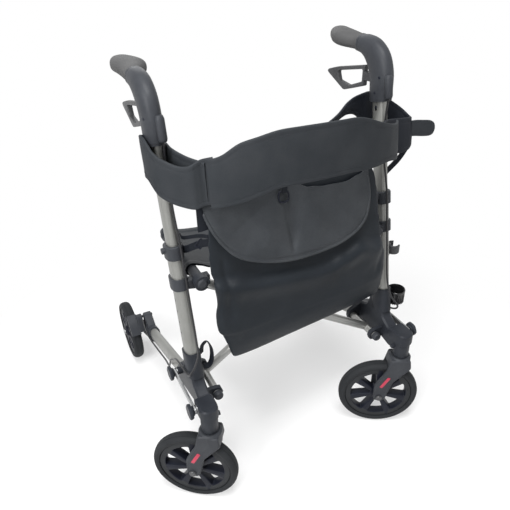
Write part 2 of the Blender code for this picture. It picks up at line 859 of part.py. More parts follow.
def rear_leg(name, side, parent):
    half_x, half_y = LEG_WIDTH / 2, LEG_DEPTH / 2
    length = leg_length(LEG_FRONT_Y, LEG_REAR_Y)
    sizes = (
        (half_x, half_y, 0.0),
        (half_x, half_y, length),
        (half_x - LEG_WALL, half_y - LEG_WALL, length),
        (half_x - LEG_WALL, half_y - LEG_WALL, 0.0),
    )
    rings = [oval(x, y, along, 20, OVAL_POWER) for x, y, along in sizes]
    mesh = skin(rings, leg_frame(side, LEG_FRONT_Y), closed=True)
    return part(f"rear_leg_{name}", mesh, anodised(), parent)


def side_link(name, side, parent):
    near = POST_HALF_TRACK + JOINT_THICKNESS / 2 + LINK_STANDOFF + GAP
    far = near + LINK_THICKNESS
    radius = LINK_WIDTH / 2
    outline = rounded(
        (
            (LINK_FRONT_Y - radius, LINK_HEIGHT - radius, radius),
            (LINK_REAR_Y + radius, LINK_HEIGHT - radius, radius),
            (LINK_REAR_Y + radius, LINK_HEIGHT + radius, radius),
            (LINK_FRONT_Y - radius, LINK_HEIGHT + radius, radius),
        )
    )
    low, high = sorted((side * near, side * far))
    mesh = extruded(outline, low, high, SIDE_PLANE, bevel=0.0008)
    return part(f"side_link_{name}", mesh, zinc(), parent)


def side_knob(label, name, side, y, parent):
    """A round knob with scallops on its rim."""
    start = POST_HALF_TRACK + JOINT_THICKNESS / 2 + LINK_STANDOFF + LINK_THICKNESS + 2 * GAP
    rings = []
    for share, along in ((0.62, 0.0), (0.62, 0.003), (0.95, 0.0045), (1.0, 0.0100), (0.86, KNOB_DEPTH)):
        ring = []
        for step in range(24):
            angle = 2 * math.pi * step / 24
            radius = KNOB_RADIUS * share * (1 - 0.07 * (1 + math.cos(6 * angle)) / 2)
            ring.append(Vector((radius * math.cos(angle), radius * math.sin(angle), along)))
        rings.append(ring)
    frame = frame_along((side * start, y, LINK_HEIGHT), (side, 0, 0), (0, 0, 1))
    return part(f"{label}_knob_{name}", skin(rings, frame), charcoal(), parent)


# Rear bracket and brake


def rear_bracket(name, side, parent):
    """The collar on the leg's end, with an arm to the axle and an ear for the brake shoe."""
    mesh = leg_solid(side, 0.156, 0.204, BRACKET_WALL)
    bracket = part(f"rear_bracket_{name}", mesh, charcoal(), parent)
    middle = side * POST_HALF_TRACK
    half = 0.0115
    shoe_y, shoe_z = shoe_pivot()
    outline = rounded(
        (
            (0.172, 0.124, 0.004),
            (0.180, 0.166, 0.006),
            (shoe_y - 0.011, shoe_z + 0.009, 0.009),
            (shoe_y + 0.010, shoe_z + 0.008, 0.009),
            (shoe_y + 0.010, shoe_z - 0.016, 0.010),
            (0.246, 0.140, 0.016),
            (REAR_Y + 0.004, REAR_WHEEL_RADIUS + 0.018, 0.016),
            (REAR_Y + 0.017, REAR_WHEEL_RADIUS - 0.006, 0.014),
            (REAR_Y - 0.006, REAR_WHEEL_RADIUS - 0.018, 0.014),
        )
    )
    arm = extruded(outline, middle - half, middle + half, SIDE_PLANE, bevel=0.002)
    boss_end = REAR_HALF_TRACK - HUB_WIDTH / 2 - RUNNING_GAP
    boss = rod(
        (side * (POST_HALF_TRACK + half - 0.004), REAR_Y, REAR_WHEEL_RADIUS),
        (side * boss_end, REAR_Y, REAR_WHEEL_RADIUS),
        0.011,
    )
    join(bracket, parent, arm, boss)
    socket = leg_solid(side, 0.10, LEG_REAR_Y + 0.001, GAP)
    axle_bore = rod(
        (side * (POST_HALF_TRACK - 0.05), REAR_Y, REAR_WHEEL_RADIUS),
        (side * (REAR_HALF_TRACK + 0.046), REAR_Y, REAR_WHEEL_RADIUS),
        AXLE_RADIUS + GAP,
    )
    pin_start = (side * (POST_HALF_TRACK - 0.05), shoe_y, shoe_z)
    pin_end = (side * (REAR_HALF_TRACK + 0.046), shoe_y, shoe_z)
    pin_bore = rod(pin_start, pin_end, 0.0043, 12)
    return cut(bracket, parent, socket, axle_bore, pin_bore)


def shoe_pivot():
    return (REAR_Y - 0.068, REAR_WHEEL_RADIUS + 0.090)


def tyre_arc(radius, start, end, steps):
    points = []
    for step in range(steps + 1):
        angle = math.radians(start + (end - start) * step / steps)
        points.append(
            Vector((REAR_Y + radius * math.cos(angle), REAR_WHEEL_RADIUS + radius * math.sin(angle)))
        )
    return points


def brake_shoe(name, side, parent, pivot):
    """The rocker whose pad stands just clear of the tyre's tread."""
    clear = REAR_WHEEL_RADIUS + 0.003
    outline = tyre_arc(clear, 118, 154, 6) + tyre_arc(clear + 0.010, 154, 118, 6)
    near = REAR_HALF_TRACK - TYRE_WIDTH / 2 + 0.001
    far = REAR_HALF_TRACK + TYRE_WIDTH / 2 - 0.001
    low, high = sorted((side * near, side * far))
    mesh = extruded(outline, low, high, SIDE_PLANE, bevel=0.001)
    shoe = part(f"brake_shoe_{name}", mesh, charcoal(), parent, pivot)
    y, z = shoe_pivot()
    pad_end = tyre_arc(clear + 0.009, 150, 150, 1)[0]
    pad_start = tyre_arc(clear + 0.009, 124, 124, 1)[0]
    rocker = rounded(
        (
            (y + 0.010, z + 0.006, 0.007),
            (y - 0.009, z + 0.009, 0.008),
            (pad_end.x - 0.006, pad_end.y + 0.004, 0.006),
            (pad_end.x + 0.004, pad_end.y - 0.006, 0.004),
            (pad_start.x - 0.006, pad_start.y - 0.008, 0.006),
            (y + 0.014, z - 0.006, 0.006),
        )
    )
    inner = POST_HALF_TRACK + LEG_WIDTH / 2 + BRACKET_WALL + 2 * GAP
    low, high = sorted((side * inner, side * (near + 0.003)))
    plate = extruded(rocker, low, high, SIDE_PLANE, bevel=0.001)
    pin = rod((side * (POST_HALF_TRACK - 0.0145), y, z), (side * (inner + 0.004), y, z), 0.004, 12)
    return join(shoe, parent, plate, pin)


# Wheels


def wheel_frame(centre, axis):
    return frame_along(centre, axis, (0, 0, -1))


def tyre(name, radius, frame, parent, pivot):
    half = TYRE_WIDTH / 2
    inner = radius - TYRE_DEPTH
    profile = (
        (inner, -half + 0.003),
        (radius - 0.006, -half),
        (radius - 0.001, -half + 0.006),
        (radius, 0.0),
        (radius - 0.001, half - 0.006),
        (radius - 0.006, half),
        (inner, half - 0.003),
    )
    mesh = turned(profile, frame, 32, closed=True)
    return part(name, mesh, tyre_rubber(), parent, pivot)


def spoke_window(index, inner, outer):
    """One opening between two spokes, as points round its edge."""
    pitch = 2 * math.pi / SPOKE_COUNT
    middle = (index + 0.5) * pitch
    points = []
    for radius, half_spoke, direction in (
        (inner, SPOKE_WIDTH_AT_HUB / 2, 1),
        (outer, SPOKE_WIDTH_AT_RIM / 2, -1),
    ):
        spread = pitch / 2 - half_spoke / radius
        steps = 1 if direction > 0 else 4
        for step in range(steps + 1):
            angle = middle + direction * spread * (1 - 2 * step / steps) * -1
            reach = radius
            if direction < 0 and step in (0, steps):
                reach = radius - 0.006
            points.append(Vector((reach * math.cos(angle), reach * math.sin(angle))))
    return points


def rim(name, radius, frame, parent, pivot):
    """A moulded wheel centre: rim band, hub and blade-like spokes with windows between."""
    outer = radius - TYRE_DEPTH - GAP
    circle = [
        Vector((outer * math.cos(2 * math.pi * i / 32), outer * math.sin(2 * math.pi * i / 32)))
        for i in range(32)
    ]
    windows = [
        spoke_window(index, HUB_RADIUS + 0.004, outer - RIM_BAND) for index in range(SPOKE_COUNT)
    ]
    half = RIM_WIDTH / 2
    mesh = extruded(circle, -half, half, frame, windows)
    wheel = part(name, mesh, rim_plastic(), parent, pivot)
    hub_half = HUB_WIDTH / 2 - RUNNING_GAP
    hub = turned(
        [(HUB_RADIUS - 0.003, -hub_half), (HUB_RADIUS, -hub_half + 0.004),
         (HUB_RADIUS, hub_half - 0.004), (HUB_RADIUS - 0.003, hub_half)],
        frame,
        14,
    )
    join(wheel, parent, hub)
    bore = turned([(AXLE_RADIUS + RUNNING_GAP, -0.05), (AXLE_RADIUS + RUNNING_GAP, 0.05)], frame, 12)
    return cut(wheel, parent, bore)


def axle(name, frame, low, high, parent, pivot):
    """A bolt with a low round head at each end, seated on the faces at low and high."""
    profile = (
        (AXLE_HEAD_RADIUS - 0.002, low - AXLE_HEAD_DEPTH),
        (AXLE_HEAD_RADIUS, low - AXLE_HEAD_DEPTH + 0.002),
        (AXLE_HEAD_RADIUS, low),
        (AXLE_RADIUS, low),
        (AXLE_RADIUS, high),
        (AXLE_HEAD_RADIUS, high),
        (AXLE_HEAD_RADIUS, high + AXLE_HEAD_DEPTH - 0.002),
        (AXLE_HEAD_RADIUS - 0.002, high + AXLE_HEAD_DEPTH),
    )
    return part(name, turned(profile, frame, 12), zinc(), parent, pivot)


def caster(name, side, heading, parent):
    """The fork on its stem, turned to its heading, with its wheel and bolt."""
    stem = Vector((side * CASTER_HALF_TRACK, FRONT_Y, 0.0))
    swivel = body(f"caster_{name}", stem, parent)
    turn = Matrix.Translation(stem) @ Matrix.Rotation(heading, 4, "Z")
    across = turn.to_3x3() @ Vector((0, 1, 0))
    plane = turn @ Matrix(((1, 0, 0, 0), (0, 0, 1, 0), (0, 1, 0, 0), (0, 0, 0, 1)))
    slot_half = TYRE_WIDTH / 2 + FORK_CLEARANCE
    outer_half = slot_half + FORK_ARM_THICKNESS
    centre = turn @ Vector((CASTER_TRAIL, 0, FRONT_WHEEL_RADIUS))
    crown = FORK_CROWN_RADIUS
    outline = rounded(
        (
            (-crown + 0.004, FORK_CROWN_TOP - 0.003, 0.004),
            (-crown, FORK_CROWN_TOP - 0.030, 0.012),
            (CASTER_TRAIL - 0.030, FRONT_WHEEL_RADIUS + 0.050, 0.020),
            (CASTER_TRAIL - FORK_END_RADIUS, FRONT_WHEEL_RADIUS - FORK_END_RADIUS, FORK_END_RADIUS),
            (CASTER_TRAIL + FORK_END_RADIUS, FRONT_WHEEL_RADIUS - FORK_END_RADIUS, FORK_END_RADIUS),
            (CASTER_TRAIL + FORK_END_RADIUS, FRONT_WHEEL_RADIUS + 0.040, 0.030),
            (crown + 0.006, FORK_CROWN_TOP - 0.040, 0.016),
            (crown - 0.002, FORK_CROWN_TOP - 0.003, 0.006),
        )
    )
    mesh = extruded(outline, -outer_half, outer_half, plane, bevel=0.003)
    fork = part(f"caster_fork_{name}", mesh, charcoal(), swivel)
    cap = turned(
        [(crown - 0.001, -0.036), (crown, -0.030), (crown, -0.004), (crown - 0.004, 0.0)],
        frame_along(stem + Vector((0, 0, FORK_CROWN_TOP)), (0, 0, 1)),
        20,
    )
    post = rod(stem + Vector((0, 0, 0.215)), stem + Vector((0, 0, STEM_TOP)), STEM_RADIUS)
    join(fork, swivel, cap, post)
    way = FRONT_WHEEL_RADIUS + FORK_CLEARANCE
    wheel_room = turned([(way, -slot_half), (way, slot_half)], frame_along(centre, across, (0, 0, 1)), 36)
    bore = turned(
        [(AXLE_RADIUS + GAP, -0.06), (AXLE_RADIUS + GAP, 0.06)],
        frame_along(centre, across, (0, 0, 1)),
        12,
    )
    cut(fork, swivel, wheel_room, bore)
    spin = body(f"front_wheel_{name}", centre, swivel)
    frame = wheel_frame(centre, across)
    rim(f"front_rim_{name}", FRONT_WHEEL_RADIUS, frame, spin, centre)
    tyre(f"front_tyre_{name}", FRONT_WHEEL_RADIUS, frame, spin, centre)
    end = outer_half + GAP
    axle(f"front_axle_{name}", frame, -end, end, swivel, centre)
    return swivel


def rear_wheel(name, side, parent):
    centre = Vector((side * REAR_HALF_TRACK, REAR_Y, REAR_WHEEL_RADIUS))
    spin = body(f"rear_wheel_{name}", centre, parent)
    frame = wheel_frame(centre, (side, 0, 0))
    rim(f"rear_rim_{name}", REAR_WHEEL_RADIUS, frame, spin, centre)
    tyre(f"rear_tyre_{name}", REAR_WHEEL_RADIUS, frame, spin, centre)
    inner = POST_HALF_TRACK - 0.0115 - GAP - REAR_HALF_TRACK
    axle(f"rear_axle_{name}", frame, inner, HUB_WIDTH / 2 + GAP, parent, centre)


# Folding cross and seat


def brace(name, low_side, y, parent, pivot):
    """A bar from its low pivot tube up to the ring on the opposite seat rail."""
    low = Vector((low_side * PIVOT_HALF_TRACK, y, LOW_PIVOT_HEIGHT))
    top = Vector((-low_side * PIVOT_HALF_TRACK, y, SEAT_HEIGHT))
    direction = (top - low).normalized()
    frame = frame_along(low, top - low, (0, 1, 0))
    length = (top - low).length - RAIL_RADIUS - 0.002
    mesh = turned([(BRACE_RADIUS, 0.0), (BRACE_RADIUS, length)], frame, 16)
    bar = part(name, mesh, anodised(), parent, pivot)
    tube = rod(
        (low.x, PIVOT_TUBE_FRONT_Y, low.z), (low.x, PIVOT_TUBE_REAR_Y, low.z), PIVOT_TUBE_RADIUS
    )
    half = RAIL_RING_WIDTH / 2
    ring = rod((top.x, y - half, top.z), (top.x, y + half, top.z), RAIL_RING_RADIUS, 20)
    join(bar, parent, tube, ring)
    rail_bore = rod((top.x, y - 0.05, top.z), (top.x, y + 0.05, top.z), RAIL_RADIUS + RUNNING_GAP, 20)
    middle = (low + top) / 2
    pin_bore = rod(middle - Vector((0, 0.03, 0)), middle + Vector((0, 0.03, 0)), PIN_RADIUS + RUNNING_GAP)
    return cut(bar, parent, rail_bore, pin_bore)


def brace_pin(parent, pivot):
    front = FRONT_BRACE_Y - BRACE_RADIUS - GAP
    rear = REAR_BRACE_Y + BRACE_RADIUS + GAP
    spacer_front = FRONT_BRACE_Y + BRACE_RADIUS + GAP
    spacer_rear = REAR_BRACE_Y - BRACE_RADIUS - GAP
    profile = (
        (0.007, front - 0.004),
        (0.007, front),
        (PIN_RADIUS, front),
        (PIN_RADIUS, spacer_front),
        (0.008, spacer_front),
        (0.008, spacer_rear),
        (PIN_RADIUS, spacer_rear),
        (PIN_RADIUS, rear),
        (0.007, rear),
        (0.007, rear + 0.004),
    )
    frame = frame_along((0, 0, pivot[2]), (0, 1, 0), (1, 0, 0))
    return part("brace_pin", turned(profile, frame, 16), zinc(), parent, pivot)


def pivot_cap(name, side, parent):
    end = PIVOT_TUBE_FRONT_Y - GAP
    profile = (
        (0.0085, -PIVOT_CAP_LENGTH),
        (0.0105, -PIVOT_CAP_LENGTH + 0.003),
        (0.0105, 0.0),
    )
    frame = frame_along(
        (side * PIVOT_HALF_TRACK, end, LOW_PIVOT_HEIGHT), (0, 1, 0), (1, 0, 0)
    )
    return part(f"pivot_cap_{name}", turned(profile, frame, 20), charcoal(), parent)


def seat_rail(name, side, parent, pivot):
    x = side * PIVOT_HALF_TRACK
    profile = (
        (RAIL_RADIUS - 0.003, RAIL_FRONT_Y),
        (RAIL_RADIUS, RAIL_FRONT_Y + 0.003),
        (RAIL_RADIUS, RAIL_REAR_Y - 0.003),
        (RAIL_RADIUS - 0.003, RAIL_REAR_Y),
    )
    frame = frame_along((x, 0, SEAT_HEIGHT), (0, 1, 0), (1, 0, 0))
    return part(f"seat_rail_{name}", turned(profile, frame, 20), charcoal(), parent, pivot)


def seat_sling(parent):
    """One sheet that wraps both rails and sags a little between them."""
    hem = RAIL_RADIUS + GAP
    centre = []
    for step in range(9):
        angle = math.radians(-110 - 160 * step / 8 + 0)
        centre.append((-PIVOT_HALF_TRACK + hem * math.cos(angle), SEAT_HEIGHT + hem * math.sin(angle)))
    inner_left = list(centre)
    spans = 14
    top_edge = inner_left[-1]
    middle = []
    for step in range(1, spans):
        t = step / spans
        x = top_edge[0] + t * (-2 * top_edge[0])
        z = top_edge[1] - SEAT_SAG * 4 * t * (1 - t)
        middle.append((x, z))
    right = [(-x, z) for x, z in reversed(inner_left)]
    path = [Vector(point) for point in inner_left + middle + right]
    outside = []
    count = len(path)
    for i, point in enumerate(path):
        ahead = path[min(i + 1, count - 1)] - path[max(i - 1, 0)]
        normal = Vector((-ahead.y, ahead.x)).normalized()
        outside.append(point + normal * SHEET)
    outline = path + list(reversed(outside))
    mesh = extruded(outline, -SEAT_REAR_Y, -SEAT_FRONT_Y, FRONT_PLANE)
    return part("seat_sling", mesh, bag_nylon(), parent)


# Bag, flap and straps


def bag_body(parent):
    """A soft pouch that hangs in front of the cross, fuller at its foot and lower on its left."""
    sections = (
        (-0.371, -0.328, -0.640, 0.784, -0.2300, 0.0060),
        (-0.366, -0.322, -0.672, 0.824, -0.2300, 0.0110),
        (-0.337, -0.302, -0.712, 0.840, -0.2320, 0.0160),
        (-0.302, -0.277, -0.760, 0.848, -0.2330, 0.0180),
        (-0.282, -0.262, -0.804, 0.852, -0.2330, 0.0185),
        (-0.222, -0.222, -0.824, 0.852, -0.2310, 0.0165),
        (-0.166, -0.166, -0.836, 0.792, -0.2295, 0.0150),
        (-0.122, -0.122, -0.824, 0.760, -0.2215, 0.0210),
        (-0.082, -0.082, -0.800, 0.736, -0.2105, 0.0260),
        (-0.046, -0.046, -0.780, 0.720, -0.2020, 0.0270),
        (-0.022, -0.022, -0.768, 0.696, -0.2035, 0.0195),
        (-0.008, -0.008, -0.744, 0.672, -0.2085, 0.0108),
    )
    rings = []
    for left_drop, right_drop, left_share, right_share, y, half_depth in sections:
        left, right = left_share * POST_HALF_TRACK, right_share * POST_HALF_TRACK
        middle, half_width = (left + right) / 2, (right - left) / 2
        ring = oval(half_width, half_depth, 0.0, 26, 3.2, (middle, y))
        for point in ring:
            share = (point.x - left) / (right - left)
            point.z = FLAP_TOP + left_drop + (right_drop - left_drop) * share
        rings.append(ring)
    bag = part("bag_body", skin(rings), bag_nylon(), parent)
    straps = []
    for side, share in ((-1.0, -0.720), (1.0, 0.664)):
        clamp = side * (POST_HALF_TRACK - POST_WIDTH / 2 - COLLAR_WALL - 0.0016)
        edge = share * POST_HALF_TRACK
        path = ((edge, -0.200), (clamp - side * 0.0237, -0.184), (clamp, -0.170), (clamp, -0.150))
        heights = [HEIGHT_CLAMP_TOP + rise for rise in (0.020, 0.010, -0.009, -0.011)]
        straps.append(ribbon(path, heights, (0.009,) * 4, (0.0,) * 4, 0.0024))
    return join(bag, parent, *straps)


def bag_flap(parent):
    """A half-oval flap over the bag's front, a little off centre."""
    rows = 4
    hem = (
        (-0.808, -0.020), (-0.796, -0.038), (-0.772, -0.060), (-0.728, -0.083),
        (-0.664, -0.104), (-0.584, -0.123), (-0.424, -0.142), (-0.280, -0.152),
        (-0.128, -0.159), (0.028, -0.163), (0.172, -0.164), (0.300, -0.161),
        (0.428, -0.155), (0.516, -0.145), (0.588, -0.129), (0.632, -0.107),
        (0.656, -0.086), (0.668, -0.060), (0.672, -0.032),
    )
    front, back = [], []
    for row in range(rows + 1):
        for share, drop in hem:
            x = share * POST_HALF_TRACK
            height = FLAP_TOP + drop * row / rows
            y = -0.2215 - 0.0280 * math.sin(0.5 * math.pi * (FLAP_TOP - height) / (FLAP_TOP - FLAP_BOTTOM))
            curl = 0.006 * abs((share + 0.068) / 0.740) ** 4
            place = Vector((x, y + curl, height))
            front.append(place)
            back.append(place + Vector((0, FLAP_THICKNESS, 0)))
    mesh = bmesh.new()
    sides = [[mesh.verts.new(point) for point in points] for points in (front, back)]
    width = len(hem)
    columns = width - 1
    for row in range(rows):
        for column in range(columns):
            corner = row * width + column
            for points in sides:
                mesh.faces.new(
                    (points[corner], points[corner + 1], points[corner + width + 1], points[corner + width])
                )
    border = (
        list(range(width))
        + [row * width + columns for row in range(1, rows + 1)]
        + [rows * width + column for column in range(columns - 1, -1, -1)]
        + [row * width for row in range(rows - 1, 0, -1)]
    )
    for here, ahead in zip(border, border[1:] + border[:1]):
        mesh.faces.new((sides[0][here], sides[0][ahead], sides[1][ahead], sides[1][here]))
    return part("bag_flap", mesh, bag_nylon(), parent)


def band_y(share):
    """The band's bow in plan, at a share of the way from the middle to a post."""
    bow = math.sqrt(max(0.0, 1 - (share / 1.048) ** 2))
    return BAND_ROOT_Y + (BAND_BULGE_Y - BAND_ROOT_Y) * bow**0.9


def backrest_band(parent):
    """One padded strip across the front, with a loop behind each stem and a pull tab on the right."""
    lean = POST_LEAN
    left, right = -POST_HALF_TRACK, POST_HALF_TRACK
    corners = [
        (left + 0.057, -0.226, 0.764, 0.036, 0.08),
        (left + 0.036, -0.192, 0.766, 0.038, 0.12),
        (left + 0.023, -0.150, 0.770, 0.038, lean),
        (left + 0.021, -0.110, 0.772, 0.038, lean),
        (left, -0.086, 0.778, 0.038, lean),
        (left - 0.020, -0.103, 0.788, 0.040, 0.08),
        (left - 0.0225, -0.134, 0.792, 0.040, 0.05),
        (left - 0.016, -0.164, 0.773, 0.039, 0.08),
        (left, -0.184, 0.759, 0.038, 0.15),
    ]
    strip = (
        (-0.900, 0.7580, 0.0380), (-0.780, 0.7650, 0.0430), (-0.680, 0.7725, 0.0470),
        (-0.580, 0.7840, 0.0530), (-0.460, 0.7930, 0.0530), (-0.320, 0.8020, 0.0520),
        (-0.160, 0.8030, 0.0520), (0.000, 0.8020, 0.0520), (0.160, 0.8005, 0.0515),
        (0.300, 0.7980, 0.0510), (0.420, 0.7915, 0.0490), (0.560, 0.7825, 0.0430),
        (0.720, 0.7725, 0.0370), (0.860, 0.7600, 0.0370),
    )
    corners += [
        (share * POST_HALF_TRACK, band_y(share), rise, half, 0.156 * share**2)
        for share, rise, half in strip
    ]
    corners += [
        (right - 0.004, -0.181, 0.7440, 0.0400, lean),
        (right + 0.035, -0.172, 0.7420, 0.0400, lean),
        (right + 0.064, -0.158, 0.7470, 0.0310, lean),
        (right + 0.077, -0.136, 0.7570, 0.0210, lean),
        (right + 0.068, -0.112, 0.7640, 0.0260, lean),
        (right + 0.040, -0.094, 0.7740, 0.0390, lean),
        (right + 0.005, -0.088, 0.7840, 0.0410, lean),
        (right - 0.028, -0.098, 0.7960, 0.0310, lean),
        (0.736 * right, -0.124, 0.8080, 0.0190, 0.10),
        (0.528 * right, -0.176, 0.8110, 0.0140, 0.0),
        (0.368 * right, -0.238, 0.8180, 0.0120, 0.0),
        (0.312 * right, -0.262, 0.8200, 0.0120, 0.0),
    ]
    path = smooth_path([Vector(corner) for corner in corners], 2)
    plan = [(point[0], point[1]) for point in path]
    rises = [point[2] for point in path]
    halves = [point[3] for point in path]
    leans = [point[4] for point in path]
    mesh = ribbon(plan, rises, halves, leans, BAND_THICKNESS)
    band = part("backrest_band", mesh, webbing(), parent)
    end = POST_HALF_TRACK + TAB_REACH
    ends = [(right + 0.068, -0.153), (right + 0.090, -0.150), (end - 0.006, -0.149), (end, -0.149)]
    tab = ribbon(ends, [0.748, 0.745, 0.741, 0.740], [0.0175, 0.0190, 0.0195, 0.0130], [0.0] * 4, 0.004)
    return join(band, parent, tab)


def strap_loop(parent):
    """A short webbing loop on the left joint's inner face."""
    face = -(POST_HALF_TRACK - JOINT_THICKNESS / 2)
    corners = (
        (face + 0.0016, -0.206, 0.362),
        (face + 0.0045, -0.208, 0.392),
        (face + 0.0150, -0.210, 0.399),
        (face + 0.0220, -0.212, 0.380),
        (face + 0.0215, -0.212, 0.348),
        (face + 0.0130, -0.210, 0.330),
        (face + 0.0022, -0.208, 0.338),
    )
    path = smooth_path(corners, 4)
    half_width, half_thick = 0.008, 0.0012
    rings = []
    last = len(path) - 1
    for i, point in enumerate(path):
        ahead = (path[min(i + 1, last)] - path[max(i - 1, 0)]).normalized()
        width_way = Vector((0.0, 1.0, 0.0))
        normal = ahead.cross(width_way).normalized()
        rings.append(
            [
                point + width_way * half_width + normal * half_thick,
                point - width_way * half_width + normal * half_thick,
                point - width_way * half_width - normal * half_thick,
                point + width_way * half_width - normal * half_thick,
            ]
        )
    return part("strap_loop", skin(rings), webbing(), parent)


def pull_ring(parent):
    """The small ring at the flap's top."""
    centre = Vector((-0.043, -0.2281, 0.704))
    frame = frame_along(centre, (0, 1, -0.249))
    rings = []
    for step in range(20):
        angle = 2 * math.pi * step / 20
        out = Vector((math.cos(angle), math.sin(angle), 0.0))
        ring = []
        for corner in range(6):
            turn = 2 * math.pi * corner / 6
            reach = 0.011 + 0.0016 * math.cos(turn)
            ring.append(out * reach + Vector((0, 0, 0.0016 * math.sin(turn))))
        rings.append(ring)
    return part("pull_ring", skin(rings, frame, closed=True), lever_plastic(), parent)


# Cane holder


def cane_cup(parent):
    face = POST_HALF_TRACK + JOINT_THICKNESS / 2
    centre = Vector((face + GAP + CUP_RADIUS + 0.0015, post_y(0.352) - 0.004, CUP_TOP - CUP_HEIGHT))
    inner = CUP_RADIUS - CUP_WALL
    profile = (
        (CUP_RADIUS - 0.004, 0.0),
        (CUP_RADIUS - 0.001, 0.003),
        (CUP_RADIUS, CUP_HEIGHT),
        (inner, CUP_HEIGHT),
        (inner - 0.001, 0.006),
        (inner - 0.004, 0.0035),
    )
    mesh = turned(profile, frame_along(centre, (0, 0, 1)), 28)
    cup = part("cane_cup", mesh, gloss_black(), parent)
    outline = rounded(
        (
            (centre.y - 0.009, centre.z + 0.006, 0.003),
            (centre.y + 0.009, centre.z + 0.006, 0.003),
            (centre.y + 0.009, centre.z + CUP_HEIGHT - 0.002, 0.003),
            (centre.y - 0.009, centre.z + CUP_HEIGHT - 0.002, 0.003),
        )
    )
    pad = extruded(outline, face + GAP, face + GAP + 0.0036, SIDE_PLANE)
    return join(cup, parent, pad)


def cane_clip(parent):
    """A C-shaped spring clip on a short pad, open to the outside."""
    face = POST_HALF_TRACK + POST_WIDTH / 2
    centre = Vector((face + CLIP_RADIUS + 0.006, post_y(CLIP_HEIGHT)))
    mouth = math.radians(48)
    outline = []
    steps = 18
    for radius, way in ((CLIP_RADIUS, 1), (CLIP_RADIUS - CLIP_WALL, -1)):
        for step in range(steps + 1):
            share = step / steps if way > 0 else 1 - step / steps
            angle = mouth + share * (2 * math.pi - 2 * mouth)
            out = Vector((math.cos(angle), math.sin(angle)))
            outline.append(Vector(centre) + radius * out)
    low, high = CLIP_HEIGHT - CLIP_DEPTH / 2, CLIP_HEIGHT + CLIP_DEPTH / 2
    mesh = extruded(outline, low, high, Matrix.Identity(4), bevel=0.0006)
    clip = part("cane_clip", mesh, lever_plastic(), parent)
    pad = extruded(
        rounded(
            (
                (face + GAP, centre.y - 0.009, 0.0),
                (face + 0.0085, centre.y - 0.006, 0.0),
                (face + 0.0085, centre.y + 0.006, 0.0),
                (face + GAP, centre.y + 0.009, 0.0),
            )
        ),
        low - 0.004,
        high + 0.008,
        Matrix.Identity(4),
    )
    join(clip, parent, pad)
    room = post_solid(1.0, CLIP_HEIGHT - 0.06, CLIP_HEIGHT + 0.06, GAP)
    return cut(clip, parent, room)


# Brake cables


def brake_cable(name, side, parent):
    """The sleeve from the housing down the post's front, round the joint and along the leg."""
    start = HOUSING_BOTTOM + 0.0122
    by_post = POST_HALF_TRACK - BOSS_INSET
    outside = POST_HALF_TRACK + JOINT_THICKNESS / 2 + 0.0032
    by_leg = POST_HALF_TRACK + LEG_WIDTH / 2 + 0.003
    front = POST_DEPTH / 2 + 0.011
    close = STEM_TUBE_DEPTH / 2 + 0.0055
    rise = LEFT_CABLE_RISE if side < 0 else 0.0
    route = [
        (by_post, post_y(start) - 0.0380, start),
        (by_post, post_y(HOUSING_BOTTOM - 0.023) - 0.029, HOUSING_BOTTOM - 0.023),
        (by_post, post_y(HOUSING_BOTTOM - 0.063) - close, HOUSING_BOTTOM - 0.063),
        (by_post, post_y(HEIGHT_CLAMP_TOP + 0.070) - close, HEIGHT_CLAMP_TOP + 0.070),
        (by_post, post_y(HEIGHT_CLAMP_TOP + 0.010) - front, HEIGHT_CLAMP_TOP + 0.010),
        (by_post, post_y(SEAT_COLLAR_TOP + 0.019) - front, SEAT_COLLAR_TOP + 0.019),
        (by_post, post_y(SEAT_COLLAR_BOTTOM - 0.027) - front, SEAT_COLLAR_BOTTOM - 0.027),
        (by_post, post_y(0.420) - front, 0.420),
        (by_post + 0.005, -0.236, 0.376 + rise),
        (outside - 0.0100, -0.244, 0.353 + rise),
        (outside - 0.0020, -0.242, 0.339 + rise),
        (outside, -0.234, 0.327 + rise),
        (outside, -0.216, 0.317 + rise),
        (outside, -0.190, 0.312 + rise),
        (outside - 0.0005, -0.140, 0.304 + rise / 2),
        (outside - 0.0010, -0.108, 0.284),
        (outside - 0.0015, -0.078, 0.258),
        (by_leg + 0.0030, -0.048, leg_z(-0.048) - 0.012),
        (by_leg, 0.000, leg_z(0.000) - 0.016),
        (by_leg, 0.080, leg_z(0.080) - 0.016),
        (by_leg + 0.0030, 0.140, leg_z(0.140) - 0.006),
        (by_leg + 0.0060, 0.168, 0.163),
        (by_leg + 0.0060, 0.196, 0.186),
    ]
    route = [(side * x, y, z) for x, y, z in route]
    return cable(f"brake_cable_{name}", smooth_path(route, 3), CABLE_RADIUS, cable_sleeve(), parent)


# Assembly


